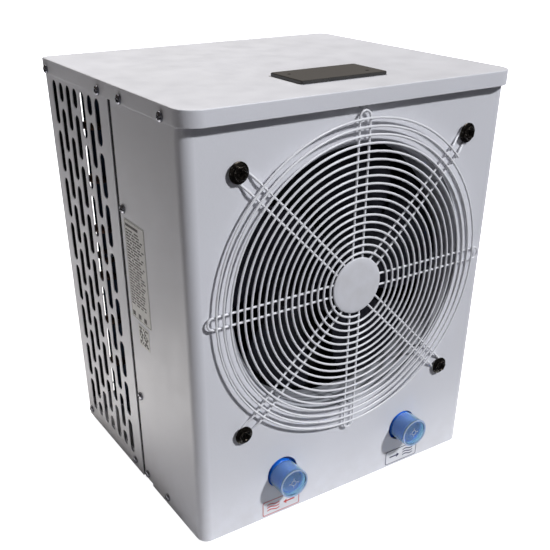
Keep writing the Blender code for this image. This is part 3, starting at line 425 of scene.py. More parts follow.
def cover(made, share, second):
    """Lay a second colour over the material's own, by a share from 0 to 1."""
    tree = made.node_tree
    base = shader_of(made).inputs["Base Color"]
    tree.links.new(mix_colour(tree, share, base.links[0].from_socket, second), base)
    return made


def set_inputs(made, **values):
    for key, value in values.items():
        shader_of(made).inputs[key.replace("_", " ")].default_value = value
    return made


def scratched(made, bare):
    """Plating rubbed through to bare metal in small spots."""
    tree = made.node_tree
    return cover(made, remap(tree, noise(tree, 800, 3.0), 0.66, 0.7), bare)


def powder_coat(name, colour, second, roughness):
    """Paint with a faint coat, and dust that thickens towards the foot of the cabinet."""
    made = surface(name, colour, second, roughness, patches=9, grain=430, depth=0.07)
    set_inputs(made, Coat_Weight=0.12, Coat_Roughness=0.25)
    tree = made.node_tree
    rise = remap(tree, height_of_point(tree), BASE_Z, BASE_Z + 60 * MM, 0.2, 0.0)
    share = multiply(tree, rise, remap(tree, noise(tree, 60, 5.0), 0.35, 0.7))
    return cover(made, share, (0.5, 0.47, 0.43))


def smoked_plate_with_painted_reflection():
    """Glossy black plate whose upturned face is painted a lighter grey than its black edges: a painted reflection
    of the room above.
    """
    made = surface("smoked_plastic", (0.012, 0.012, 0.012), (0.02, 0.019, 0.018), 0.16, 0, 45, 300, 0.004)
    tree = made.node_tree
    facing_way = tree.nodes.new("ShaderNodeNewGeometry").outputs["True Normal"]
    rise = node(tree, "ShaderNodeSeparateXYZ", Vector=facing_way).outputs["Z"]
    # Painted reflection: faces that point up get a grey that stands for the room's light mirrored in the glossy
    # plate
    return cover(made, remap(tree, rise, 0.6, 0.95), (0.13, 0.122, 0.11))


# Two colours, roughness, metallic share, patches and grains per metre, and the grain's depth in mm
PLAIN_FINISHES = {
    "galvanised": ((0.16, 0.165, 0.175), (0.1, 0.105, 0.115), 0.5, 0.7, 120, 500, 0.06),
    "zinc_steel": ((0.42, 0.42, 0.45), (0.24, 0.24, 0.27), 0.16, 1.0, 300, 2500, 0.06),
    "dark_zinc": ((0.02, 0.017, 0.014), (0.05, 0.043, 0.034), 0.24, 1.0, 350, 1400, 0.12),
    # Aged copper, darkened further as painted shade: the return bends stand in the dark inside of the cabinet
    "copper": ((0.07, 0.034, 0.022), (0.045, 0.026, 0.02), 0.55, 0.8, 70, 900, 0.06),
    "coil_steel": ((0.012, 0.03, 0.07), (0.008, 0.02, 0.045), 0.5, 0.3, 120, 500, 0.06),
    "blue_fin": ((0.005, 0.03, 0.09), (0.008, 0.05, 0.13), 0.4, 0.3, 40, 1200, 0.06),
    "black_paint": ((0.02, 0.02, 0.021), (0.035, 0.034, 0.034), 0.42, 0, 40, 800, 0.06),
    "black_plastic": ((0.008, 0.008, 0.012), (0.012, 0.012, 0.018), 0.5, 0, 50, 1500, 0.06),
    "grey_plastic": ((0.17, 0.17, 0.18), (0.21, 0.21, 0.22), 0.48, 0, 40, 1200, 0.06),
    "white_plastic": ((0.78, 0.78, 0.76), (0.7, 0.7, 0.67), 0.4, 0, 30, 1200, 0.06),
    "rubber": ((0.028, 0.028, 0.028), (0.05, 0.049, 0.047), 0.82, 0, 120, 2200, 0.1),
    "port_blue": ((0.01, 0.2, 1.0), (0.014, 0.23, 1.0), 0.3, 0, 60, 900, 0.03),
    "circuit_board": ((0.02, 0.16, 0.06), (0.03, 0.22, 0.09), 0.4, 0, 200, 600, 0.06),
    "cap_plastic": ((0.5, 0.8, 1.0), (0.54, 0.84, 1.0), 0.16, 0, 60, 300, 0.004),
    # The caps' moulded mark, and a painted highlight: the band on each cap's rim
    "cap_sign_and_rim_highlight": ((0.42, 0.52, 0.72), (0.46, 0.56, 0.76), 0.3, 0, 90, 900, 0.02),
    "label": ((0.8, 0.8, 0.82), (0.74, 0.74, 0.76), 0.5, 0, 60, 2500, 0.02),
    "rating_paper": ((0.8, 0.79, 0.76), (0.74, 0.73, 0.7), 0.5, 0, 90, 2500, 0.02),
    "print_dark": ((0.1, 0.095, 0.09), (0.15, 0.14, 0.13), 0.6, 0, 200, 2500, 0.01),
    "print_red": ((0.5, 0.035, 0.03), (0.6, 0.08, 0.07), 0.5, 0, 200, 2500, 0.01),
    "print_navy": ((0.02, 0.02, 0.06), (0.05, 0.05, 0.11), 0.5, 0, 200, 2500, 0.01),
    # Painted shade: a near-black finish for faces inside the cabinet, which stand in its shade
    "inner_shade": ((0.022, 0.022, 0.024), (0.04, 0.04, 0.042), 0.95, 0, 90, 900, 0.5),
}
# Two colours and a roughness
PAINTS = {
    "white_paint": ((0.79, 0.79, 0.825), (0.77, 0.77, 0.8), 0.42),
    "orifice_paint": ((0.5, 0.51, 0.55), (0.46, 0.47, 0.51), 0.4),
    "guard_wire": ((0.9, 0.9, 0.92), (0.89, 0.89, 0.91), 0.3),
}


def make_finishes():
    """Every finish by name: the record's slots, and a few that only the looks need."""
    made = {name: surface(name, *values) for name, values in PLAIN_FINISHES.items()}
    made.update({name: powder_coat(name, *values) for name, values in PAINTS.items()})
    made["aluminium"] = surface("aluminium", (0.76, 0.76, 0.77), (0.66, 0.66, 0.68), 0.32, 1.0,
                                stretch=(1, 1, 0.05))
    made["smoked_plastic"] = smoked_plate_with_painted_reflection()
    scratched(made["dark_zinc"], (0.75, 0.72, 0.62))
    set_inputs(made["black_plastic"], Specular_IOR_Level=0.18)
    set_inputs(made["cap_plastic"], Transmission_Weight=0.82, IOR=1.3, Coat_Weight=0.3, Coat_Roughness=0.12)
    return made


finishes = make_finishes()


# ---------------- sheet metal

def paint_inner_shade(panel):
    """Paint shade onto a panel's inner faces, those of its sheet that look into the cabinet: a near-black finish
    stands for the shade inside it.
    """
    heart = Vector((0, (FRONT_Y + REAR_Y) / 2, (BASE_Z + PANEL_TOP) / 2))
    reach = Vector((HALF_W, (REAR_Y - FRONT_Y) / 2, LID_HIGH.z - heart.z))
    panel.data.materials.append(finishes["inner_shade"])
    for face in panel.data.polygons:
        away = face.center - heart
        sheets = [axis for axis in range(3) if abs(away[axis]) > reach[axis] - FRONT_BEND_R]
        if any(face.normal[axis] * away[axis] < -0.3 * abs(away[axis]) for axis in sheets):
            face.material_index = 1


def build_front_panel():
    """Wrap-round front with two wings, the fan opening, the port holes and a notch at each wing's foot."""
    wing_end = FRONT_HIGH.y
    left = (-HALF_W + FRONT_BEND_R, FRONT_Y + FRONT_BEND_R)
    right = (HALF_W - FRONT_BEND_R, FRONT_Y + FRONT_BEND_R)
    outer, inner = [arc(left, radius, 180, 270, BEND_STEPS) + arc(right, radius, 270, 360, BEND_STEPS)
                    for radius in (FRONT_BEND_R, FRONT_BEND_R - SIDE_SHEET)]
    outline = [(-HALF_W, wing_end)] + outer + [(HALF_W, wing_end)]
    outline += [(HALF_W - SIDE_SHEET, wing_end)] + inner[::-1] + [(-HALF_W + SIDE_SHEET, wing_end)]
    cutters = [hole_cutter(FAN_AT, OPENING_R, FRONT_Y, 160)]
    cutters += [hole_cutter(hole + Vector((0, 0, BASE_Z)), PORT_HOLE_R, FRONT_Y, 64) for hole in PORT_HOLES]
    for x in (-HALF_W, HALF_W):
        low = (x - CUT, wing_end - NOTCH_W, BASE_Z - CUT)
        high = (x + CUT, wing_end + CUT, BASE_Z + NOTCH_H)
        cutters.append(mesh_of(block(low, high), "notch"))
    mesh = combine(mesh_of(extruded(outline, BASE_Z, PANEL_TOP), "front_shell"), cutters)
    panel = piece("front_shell", mesh, "white_paint", replaced=["front_panel"])
    paint_inner_shade(panel)


def middle(name):
    low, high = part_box(name)
    return (low + high) / 2


def side_outline(side, flange_w):
    """Plan of a side panel and its rear flange."""
    start = SIDE_LOW.y + SEAM_MORE
    centre = (HALF_W - REAR_BEND_R, REAR_Y - REAR_BEND_R)
    outer = [(HALF_W, start)] + arc(centre, REAR_BEND_R, 0, 90, BEND_STEPS) + [(HALF_W - flange_w, REAR_Y)]
    inner = [(HALF_W - SIDE_SHEET, start)] + arc(centre, REAR_BEND_R - SIDE_SHEET, 0, 90, BEND_STEPS)
    inner.append((HALF_W - flange_w, REAR_Y - SIDE_SHEET))
    return [(side * x, y) for x, y in outer + inner[::-1]]


def slot_places():
    """Y of the column, middle height and length of every slot."""
    top = BASE_Z + SLOT_TOP
    bottom = top - (SLOT_ROWS - 1) * SLOT_PITCH - SLOT_L
    for column in range(SLOT_COLUMNS):
        y = REAR_Y - SLOT_FIRST_COLUMN - column * SLOT_COLUMN_PITCH
        staggered = column % 2
        first = top - SLOT_L / 2 - staggered * SLOT_PITCH / 2
        for row in range(SLOT_ROWS - staggered):
            yield y, first - row * SLOT_PITCH, SLOT_L
        if staggered:
            yield y, top - SLOT_SHORT_L / 2, SLOT_SHORT_L
            yield y, bottom + SLOT_SHORT_L / 2, SLOT_SHORT_L


def build_side_panels():
    """Left side with its staggered round-ended slots, and the plain right side."""
    sheet = extruded(side_outline(-1, LEFT_FLANGE_W), BASE_Z, PANEL_TOP)
    cutter = bmesh.new()
    for y, z, length in slot_places():
        reach = (length - SLOT_W) / 2
        outline = arc((y, z + reach), SLOT_W / 2, 0, 180, 10) + arc((y, z - reach), SLOT_W / 2, 180, 360, 10)
        extrude_outline(cutter, outline, -HALF_W - CUT, -HALF_W + CUT, "X")
    mesh = combine(mesh_of(sheet, "left_shell"), [mesh_of(cutter, "slots")])
    panel = piece("left_shell", mesh, "white_paint", replaced=["left_side_panel"])
    paint_inner_shade(panel)

    sheet = extruded(side_outline(1, RIGHT_FLANGE_W), BASE_Z, PANEL_TOP)
    hole = hole_cutter(middle("cable_gland"), GLAND_HOLE_R, REAR_Y, 32)
    mesh = combine(mesh_of(sheet, "right_shell"), [hole])
    panel = piece("right_shell", mesh, "white_paint", replaced=["right_side_panel"])
    paint_inner_shade(panel)


def build_seam_shade_strips():
    """Dark strips behind the open joints between the wings and the side panels: painted shade that makes each
    joint show black, as the shade inside the cabinet does.
    """
    for side, word in ((-1, "left"), (1, "right")):
        near, far = sorted((side * (HALF_W - SIDE_SHEET - 0.1 * MM), side * (HALF_W - SHADE_STRIP_DEPTH)))
        low = (near, FRONT_HIGH.y - SHADE_STRIP_LAP, BASE_Z + SHADE_STRIP_LAP)
        high = (far, SIDE_LOW.y + SHADE_STRIP_LAP, PANEL_TOP - SHADE_STRIP_LAP)
        piece("seam_shade_strip_" + word, block(low, high), "rubber", finish="inner_shade")


def build_lid():
    """Folded lid with round corners, a rolled top edge and a short skirt."""
    def ring(inset, z):
        low = (LID_LOW.x + inset, LID_LOW.y + inset)
        high = (LID_HIGH.x - inset, LID_HIGH.y - inset)
        return [(x, y, z) for x, y in rounded_rectangle(low, high, LID_FRONT_R - inset, LID_REAR_R - inset)]

    bottom, top = LID_LOW.z, LID_HIGH.z
    loops = [ring(SHEET, top - SHEET), ring(SHEET, bottom)]
    loops += [ring(0.3 * MM, bottom), ring(0, bottom + 0.4 * MM)]
    for step in range(LID_EDGE_STEPS + 1):
        turn = math.pi / 2 * step / LID_EDGE_STEPS
        loops.append(ring(LID_EDGE * (1 - math.cos(turn)), top - LID_EDGE * (1 - math.sin(turn))))
    bm = bmesh.new()
    skin(bm, [[bm.verts.new(point) for point in loop] for loop in loops])
    low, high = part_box("display_module")
    margin = Vector((1, 1, 1)) * MM
    window = mesh_of(block(low - margin, high + margin * 3), "window")
    mesh = combine(mesh_of(bm, "lid_shell"), [window])
    panel = piece("lid_shell", mesh, "white_paint", replaced=["top_lid"])
    paint_inner_shade(panel)


# ---------------- guard and fan

def guard_point(angle, radius, across, stand):
    """Point of the guard at a radius along a spoke, so far across it and so far in front of the panel."""
    x = radius * math.cos(angle) - across * math.sin(angle)
    z = radius * math.sin(angle) + across * math.cos(angle)
    return Vector((FAN_AT.x + x, FRONT_Y - stand, FAN_AT.z + z))


def spiral_radius(turns):
    return RING_START_R - RING_PITCH * turns


def wound_offset():
    return Vector((RING_OFFSET[0], 0, RING_OFFSET[1]))


def spoke_path(angle, bolted):
    """Centre line of the hairpin wire that makes a two-wire spoke; a bolted one dips to the panel."""
    half = SPOKE_GAP / 2
    if bolted:
        tip = bolt_radius()
        flat = WIRE_R + 0.1 * MM
        legs = [(SPOKE_ROOT_R, SPOKE_STAND), (RING_START_R + 3 * MM, SPOKE_STAND)]
        legs += [(tip - 11 * MM, flat), (tip, flat)]
    else:
        tip = SPOKE_TIP_R - half - WIRE_R
        legs = [(SPOKE_ROOT_R, SPOKE_STAND), (tip, SPOKE_STAND)]
    out = [guard_point(angle, radius, -half, stand) for radius, stand in legs]
    home = [guard_point(angle, radius, half, stand) for radius, stand in legs[::-1]]
    if bolted:
        out, home = rounded_path(out, SPOKE_BEND_R), rounded_path(home, SPOKE_BEND_R)
    turn = [guard_point(angle, tip + half * math.cos(a), half * math.sin(a), legs[-1][1])
            for a in degrees(-75, 75, 15)]
    return out + turn + home


def bolt_radius():
    place = middle("grille_bolt_top_right") - FAN_AT
    return math.hypot(place.x, place.z)


def build_guard():
    """Spiral wire guard: one long wound wire on eight hairpin spokes, with a pressed disc in the middle."""
    turns = (RING_START_R - RING_END_R) / RING_PITCH
    steps = 96
    path = []
    for k in range(int(turns * steps) + 1):
        angle = RING_START_ANGLE + math.tau * k / steps
        path.append(guard_point(angle, spiral_radius(k / steps), 0, RING_STAND) + wound_offset())
    bm = bmesh.new()
    sweep(bm, path, WIRE_R, WIRE_SIDES)
    piece("guard_spiral", bm, "guard_wire", replaced=["fan_grille"])

    spokes = bmesh.new()
    welds = bmesh.new()
    for k, angle in enumerate(full_turn(SPOKE_COUNT)):
        sweep(spokes, spoke_path(angle, bolted=k % 2 == 1), WIRE_R, WIRE_SIDES)
        add_welds(welds, angle, turns)
    piece("guard_spokes", spokes, "guard_wire")
    piece("guard_welds", welds, "guard_wire")

    rim = 1.4 * MM
    edge = DISC_R - rim
    profile = [(0, 1 * MM), (DISC_R - 6 * MM, 0.9 * MM), (DISC_R - 3 * MM, 0.5 * MM), (edge, 0.3 * MM)]
    profile += [(edge + rim * math.sin(a), 0.3 * MM - rim + rim * math.cos(a)) for a in degrees(30, 150, 30)]
    profile += [(edge - rim, -1.6 * MM), (0, -1.6 * MM)]
    at = facing(guard_point(0, 0, 0, RING_STAND + 0.3 * MM), (0, -1, 0))
    piece("guard_disc", turned(profile, 72), "guard_wire", finish="white_paint", at=at)


def add_welds(bm, angle, turns):
    """Small fused spots where the spiral crosses the two wires of a spoke."""
    spoke = Vector((math.cos(angle), 0, math.sin(angle)))
    shift = spoke * wound_offset().dot(spoke)
    for across in (-SPOKE_GAP / 2, SPOKE_GAP / 2):
        for whole in range(int(turns) + 1):
            lead = (angle - RING_START_ANGLE) % math.tau / math.tau + whole
            radius = spiral_radius(lead)
            if radius < RING_END_R + abs(across) or lead > turns:
                continue
            lead += math.asin(across / radius) / math.tau
            radius = spiral_radius(lead)
            along = math.sqrt(radius * radius - across * across)
            centre = guard_point(angle, along, across, (RING_STAND + SPOKE_STAND) / 2) + shift
            bmesh.ops.create_icosphere(bm, subdivisions=2, radius=WELD_R, matrix=Matrix.Translation(centre))


def build_orifice():
    """Bell-mouthed ring round the fan."""
    low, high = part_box("fan_orifice_ring")
    depth = high.y - low.y
    rim = (high.x - low.x) / 2
    mouth = OPENING_R + 1 * MM
    curve = mouth - THROAT_R
    bell = 9 * MM
    lip = 2 * MM
    back = THROAT_R + SHEET
    profile = [(rim, 0), (mouth, 0)]
    profile += [(THROAT_R + curve * (1 - math.sin(a)), bell * (1 - math.cos(a))) for a in degrees(15, 90, 15)]
    profile += [(THROAT_R, depth - lip), (THROAT_R + lip / 2, depth), (back + 0.8 * MM, depth)]
    profile += [(back, depth - lip), (back, bell + 0.6 * MM), (mouth + 1 * MM, SHEET), (rim, SHEET)]
    at = facing((FAN_AT.x, low.y, FAN_AT.z), (0, 1, 0))
    piece("orifice_shell", turned(profile, 144, closed=True), "galvanised", finish="orifice_paint",
          replaced=["fan_orifice_ring"], at=at)


def blade_rows(turn, front, back, root_r, tip_r):
    """Loops of one twisted, swept blade from root to tip, each a thin rounded section."""
    rows = []
    for station in range(BLADE_STEPS):
        share = station / (BLADE_STEPS - 1)
        radius = root_r + (tip_r - root_r) * share
        span = math.radians(54 + 6 * share - 12 * share ** 6)
        sweep_angle = math.radians(18) * share ** 1.4
        near = front + (11 + 3 * share) * MM
        far = back - (4 + 5 * share) * MM
        face, rear = [], []
        for step in range(BLADE_STEPS + 1):
            part = step / BLADE_STEPS
            half_thick = (0.25 + 1.15 * math.sqrt(max(0.0, 4 * part * (1 - part)))) * MM
            angle = turn + sweep_angle - span / 2 + span * part
            y = near + (far - near) * part - 3 * MM * math.sin(math.pi * part)
            x = FAN_AT.x + radius * math.cos(angle)
            z = FAN_AT.z + radius * math.sin(angle)
            face.append((x, y - half_thick, z))
            rear.append((x, y + half_thick, z))
        rows.append(face + rear[::-1])
    return rows


def build_impeller():
    """Axial impeller with five sickle blades on a rounded hub."""
    low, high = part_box("fan_impeller")
    length = high.y - low.y
    bore = 4.15 * MM
    dome = 9 * MM
    profile = [(bore, 0), (HUB_R - dome, 0)]
    profile += [(HUB_R - dome + dome * math.sin(a), dome * (1 - math.cos(a))) for a in degrees(15, 90, 15)]
    profile += [(HUB_R, length), (bore, length)]
    bm = turned(profile, 72, closed=True)
    bm.transform(facing((FAN_AT.x, low.y, FAN_AT.z), (0, 1, 0)))
    hub = mesh_of(bm, "impeller")
    blades = []
    for turn in full_turn(BLADE_COUNT):
        bm = bmesh.new()
        rows = blade_rows(turn, low.y, high.y, HUB_R - 5 * MM, BLADE_TIP_R)
        skin(bm, [[bm.verts.new(point) for point in row] for row in rows])
        blades.append(mesh_of(bm, "blade"))
    piece("impeller", combine(hub, blades, "UNION"), "black_plastic", body="fan", replaced=["fan_impeller"])


# ---------------- fasteners

def cross_recess(radius, width, top, depth):
    """Two crossed wedges that cut a cross recess into a screw head's top."""
    cutters = []
    half = width / 2
    for crossed in (False, True):
        rows = []
        bm = bmesh.new()
        for z, reach in ((top - depth, radius * 0.45), (top + depth, radius * 1.5)):
            corners = rectangle((-reach, -half), (reach, half))
            if crossed:
                corners = [(-y, x) for x, y in corners]
            rows.append([bm.verts.new((x, y, z)) for x, y in corners])
        skin(bm, rows)
        cutters.append(mesh_of(bm, "recess"))
    return cutters


def pan_screw_mesh():
    """Pan-head screw with a cross recess, its seat at z = 0."""
    radius, height, edge = 4.9 * MM, 3.4 * MM, 0.9 * MM
    profile = [(0, 0), (radius - 0.2 * MM, 0), (radius, 0.3 * MM), (radius, edge)]
    dome = height - edge
    profile += [(radius * math.cos(a) ** 0.8, edge + dome * math.sin(a)) for a in degrees(12, 72, 12)]
    profile.append((0, height))
    recess = cross_recess(2.9 * MM, 1.3 * MM, height, 2.2 * MM)
    return combine(mesh_of(turned(profile, 32), "pan_screw"), recess)


def build_screws():
    """Pan-head screws of the lid's skirt, the seams and the foot of the cabinet, and those of the rear."""
    mesh = pan_screw_mesh()
    body_y = (FRONT_Y + REAR_Y) / 2
    lid_z = LID_HIGH.z - LID_SCREW_DROP
    foot_z = BASE_Z + FOOT_SCREW_RISE
    for side, word in ((-1, "left"), (1, "right")):
        out = (side, 0, 0)
        seat = side * (HALF_W + SCREW_GAP)
        lid_seat = side * (LID_HIGH.x + SCREW_GAP)
        for k, offset in enumerate(LID_SCREWS):
            at = (lid_seat, body_y + offset * MM, lid_z)
            place_screw(f"screw_lid_{word}_{k + 1}", mesh, at, out, k)
        for k, offset in enumerate(FOOT_SCREWS):
            at = (seat, body_y + offset * MM, foot_z)
            place_screw(f"screw_foot_{word}_{k + 1}", mesh, at, out, k + 2)
        for k, node_name in enumerate(("seam_screw_upper", "seam_screw_lower")):
            at = (seat, middle(node_name).y, middle(node_name).z)
            place_screw(f"screw_seam_{word}_{k + 1}", mesh, at, out, k + 5, [node_name] if side < 0 else [])
    for k, x in enumerate(LID_REAR_SCREWS):
        at = (x * MM, LID_HIGH.y + SCREW_GAP, lid_z)
        place_screw(f"screw_lid_rear_{k + 1}", mesh, at, (0, 1, 0), k)
    for k, (x, z) in enumerate(REAR_SCREWS):
        at = (x * MM, REAR_Y + SCREW_GAP, BASE_Z + z * MM)
        place_screw(f"screw_rear_{k + 1}", mesh, at, (0, 1, 0), k + 3)


def place_screw(name, mesh, at, out, turn, replaced=()):
    """One screw, with its recess turned as it happened to be tightened."""
    spin = Matrix.Rotation(math.radians(37 * turn), 4, "Z")
    piece(name, mesh, "zinc_steel", replaced=replaced, at=facing(at, out) @ spin)


def build_bolts():
    """Hexagon flange bolts of the guard."""
    flange_r = 10.4 * MM
    hex_r = 7.4 * MM
    top = 5.2 * MM
    profile = [(0, 0), (flange_r - 0.3 * MM, 0), (flange_r, 0.3 * MM), (flange_r, 1 * MM),
               (flange_r - 0.5 * MM, 1.4 * MM), (hex_r, 2.2 * MM), (hex_r * 0.8, 2.6 * MM), (0, 2.6 * MM)]
    flange = mesh_of(turned(profile, 48), "flange_bolt")
    hexagon = [(hex_r, 0.5 * MM), (hex_r, top - 0.8 * MM)]
    hexagon += [(hex_r * 0.93, top - 0.2 * MM), (hex_r * 0.86, top)]
    flange = combine(flange, [mesh_of(turned(hexagon, 6), "hexagon")], "UNION")
    dish = [(0, top - 1.3 * MM), (3.8 * MM, top - 1.1 * MM), (5 * MM, top + 0.2 * MM), (5 * MM, top + 2 * MM),
            (0, top + 2 * MM)]
    recess = cross_recess(3 * MM, 1.3 * MM, top - 1.2 * MM, 1.8 * MM)
    mesh = combine(flange, [mesh_of(turned(dish, 32), "dish")] + recess)
    shank_r = 3 * MM
    shank_l = 2 * WIRE_R + 0.2 * MM
    shank = [(0, 0), (shank_r, 0), (shank_r, shank_l), (0, shank_l)]
    for k, corner in enumerate(("top_left", "top_right", "bottom_left", "bottom_right")):
        name = "grille_bolt_" + corner
        centre = middle(name)
        at = (centre.x, FRONT_Y - 2 * WIRE_R - 0.3 * MM, centre.z)
        spin = Matrix.Rotation(math.radians(23 * k), 4, "Z")
        piece("flange_bolt_" + corner, mesh, "dark_zinc", replaced=[name], at=facing(at, (0, -1, 0)) @ spin)
        at = facing((centre.x, FRONT_Y - 0.1 * MM, centre.z), (0, -1, 0))
        piece("bolt_shank_" + corner, turned(shank, 20), "dark_zinc", at=at)


# ---------------- water ports

def build_ports():
    """Blue port stubs with a shoulder and a collar, and the frosted caps pushed over them."""
    for word in ("outlet", "inlet"):
        low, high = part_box(word + "_cap")
        centre = Vector(((low.x + high.x) / 2, FRONT_Y, (low.z + high.z) / 2))
        at = upright(facing(centre, (0, -1, 0)))
        build_cap(word, at, FRONT_Y - low.y, FRONT_Y - high.y, (high.x - low.x) / 2)
        low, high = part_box(word + "_port")
        front, back = FRONT_Y - low.y, FRONT_Y - high.y
        outer, bore, shoulder, collar = 16 * MM, 13 * MM, 17.6 * MM, (high.x - low.x) / 2
        collar_back, collar_front, edge = -18 * MM, -8 * MM, 0.6 * MM
        profile = [(bore, back), (outer, back), (outer, collar_back), (collar - edge, collar_back),
                   (collar, collar_back + edge), (collar, collar_front - edge), (collar - edge, collar_front),
                   (shoulder, collar_front), (shoulder, 0.4 * MM), (shoulder - 0.4 * MM, 0.8 * MM),
                   (outer, 1 * MM), (outer, front - 1 * MM), (outer - 1 * MM, front),
                   (bore + 0.5 * MM, front), (bore, front - 0.5 * MM)]
        piece(word + "_stub", turned(profile, 64, closed=True), "port_blue", replaced=[word + "_port"], at=at)


def build_cap(word, at, reach, base, tip_r):
    """Slightly flared push-on cap with a raised rim, a dished end and a plain moulded mark; an opaque band laid on
    the rim is a painted highlight.
    """
    node_name = word + "_cap"
    base_r = tip_r - 0.5 * MM
    face = reach - 1.6 * MM
    lip = 0.8 * MM
    inside = 16.4 * MM
    profile = [(0, face), (tip_r - 4 * MM, face), (tip_r - 2.6 * MM, face + 0.4 * MM)]
    edge = tip_r - lip
    profile += [(edge + lip * math.cos(a), reach - lip + lip * math.sin(a)) for a in degrees(150, 0, -30)]
    profile += [(base_r, base + 0.3 * MM), (base_r - 0.3 * MM, base), (inside + 0.2 * MM, base),
                (inside, base + 1 * MM), (inside, reach - 3.4 * MM), (inside - 0.6 * MM, reach - 2.8 * MM),
                (0, reach - 2.8 * MM)]
    piece(node_name + "_shell", turned(profile, 72), "cap_plastic", node_name, [node_name], at=at)

    bm = bmesh.new()
    low, high = face - 0.2 * MM, face + 0.4 * MM
    add_ring(bm, 2.6 * MM, 3.5 * MM, low, high, 36)
    # Painted highlight: an opaque band on the cap's rounded rim stands for the light the rim catches
    add_ring(bm, tip_r - 1.9 * MM, tip_r - 0.2 * MM, reach - 0.6 * MM, reach + 0.1 * MM, 72)
    for turn in full_turn(4):
        rib = block((4.3 * MM, -0.45 * MM, low), (6.4 * MM, 0.45 * MM, high))
        rib.transform(Matrix.Rotation(turn, 4, "Z"))
        bm.from_mesh(mesh_of(rib, "rib"))
    piece(node_name + "_sign_and_rim_highlight", bm, "cap_plastic", node_name, finish="cap_sign_and_rim_highlight", at=at)


def add_ring(bm, inner, outer, low, high, sides):
    turned([(inner, low), (outer, low), (outer, high), (inner, high)], sides, closed=True, bm=bm)


# ---------------- coil and rear guard

def build_coil():
    """Finned block with its end plates and copper return bends."""
    low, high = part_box("evaporator_fins")
    fin = 0.3 * MM
    bm = bmesh.new()
    count = int((high.x - low.x) / FIN_PITCH)
    for k in range(count + 1):
        x = low.x + (high.x - low.x - fin) * k / count
        extrude_outline(bm, rectangle((x, low.y), (x + fin, high.y)), low.z, high.z)
    piece("coil_fins", bm, "blue_fin", replaced=["evaporator_fins"])
    inset = Vector((fin, 4 * MM, 4 * MM))
    # Painted shade: a dark block inside the fin pack stands for the shade deep between the fins
    piece("coil_shade_core", block(low + inset, high - inset), "blue_fin", finish="inner_shade")

    for word, side, inner in (("left", -1, low.x), ("right", 1, high.x)):
        end_low, end_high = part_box("coil_end_" + word)
        x = inner + side * 0.3 * MM
        outer = x + side * SHEET
        tip = x + side * COIL_FLANGE_W
        rear = end_high.y
        outline = [(x, end_low.y), (x, rear), (tip, rear), (tip, rear - SHEET), (outer, rear - SHEET),
                   (outer, end_low.y)]
        piece("coil_plate_" + word, extruded(outline, end_low.z, end_high.z), "copper", finish="coil_steel",
              replaced=["coil_end_" + word])
        bm = bmesh.new()
        y = (end_low.y + end_high.y) / 2
        half = RETURN_BEND_R
        for k in range(RETURN_BENDS):
            z = BASE_Z + RETURN_BEND_LOW + k * RETURN_BEND_PITCH
            path = [Vector((x, y - half, z))]
            path += [Vector((x + side * (5.5 * MM + half * math.sin(a)), y - half * math.cos(a), z))
                     for a in degrees(0, 180, 15)]
            path.append(Vector((x, y + half, z)))
            sweep(bm, path, RETURN_PIPE_R, 14)
        piece("return_bends_" + word, bm, "copper")


def build_rear_guard():
    """Welded guard over the coil: cross wires resting on the flanges, and uprights outside them."""
    low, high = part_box("rear_guard")
    columns, rows = 10, 4
    over = 1.5 * MM
    first, last = low + Vector((WIRE_R, WIRE_R, WIRE_R)), high - Vector((WIRE_R, WIRE_R, WIRE_R))
    bm = bmesh.new()
    for k in range(columns):
        x = first.x + (last.x - first.x) * k / (columns - 1)
        heights = (low.z - over, low.z, high.z, high.z + over)
        sweep(bm, [Vector((x, first.y + 1.8 * WIRE_R, z)) for z in heights], WIRE_R, WIRE_SIDES)
    for k in range(rows):
        z = first.z + (last.z - first.z) * k / (rows - 1)
        reaches = (low.x - over, low.x, high.x, high.x + over)
        sweep(bm, [Vector((x, first.y, z)) for x in reaches], WIRE_R, WIRE_SIDES)
    piece("rear_guard_wires", bm, "guard_wire", replaced=["rear_guard"])


# ---------------- labels

def bar(bm, low, high):
    """Flat printed bar between two corners, given across and up the label."""
    extrude_outline(bm, rectangle(low, high), 0, PRINT_THICK)


def frame_strip(bm, width, height, radius, line):
    """Printed outline of a round-cornered rectangle about the middle of a label."""
    rows = []
    for inset, z in ((0, 0), (0, PRINT_THICK), (line, PRINT_THICK), (line, 0)):
        low = (-width / 2 + inset, -height / 2 + inset)
        points = rounded_rectangle(low, (-low[0], -low[1]), radius - inset * 0.5, steps=6)
        rows.append([bm.verts.new((x, y, z)) for x, y in points])
    skin(bm, rows, closed=True)


def sticker(name, width, height, radius, steps, at, finish="label", replaced=()):
    """Thin round-cornered sheet on a panel."""
    outline = rounded_rectangle((-width / 2, -height / 2), (width / 2, height / 2), radius, steps=steps)
    piece(name, extruded(outline, 0, STICKER_THICK), "label", replaced=replaced, finish=finish, at=at)


def wave(bm, centre, width, thickness, rise):
    """Printed wavy stroke."""
    steps = 16
    points = [(centre[0] - width / 2 + width * k / steps, centre[1] + rise * math.sin(math.tau * k / steps))
              for k in range(steps + 1)]
    half = thickness / 2
    outline = [(x, y - half) for x, y in points] + [(x, y + half) for x, y in reversed(points)]
    extrude_outline(bm, outline, 0, PRINT_THICK)


def arrow(bm, tail, tip, thickness, head):
    """Printed arrow along the across direction."""
    side = 1 if tip > tail else -1
    neck = tip - side * head
    half, wing = thickness / 2, head * 0.75
    outline = [(tail, -half), (neck, -half), (neck, -wing), (tip, 0)]
    outline += [(neck, wing), (neck, half), (tail, half)]
    extrude_outline(bm, outline, 0, PRINT_THICK)


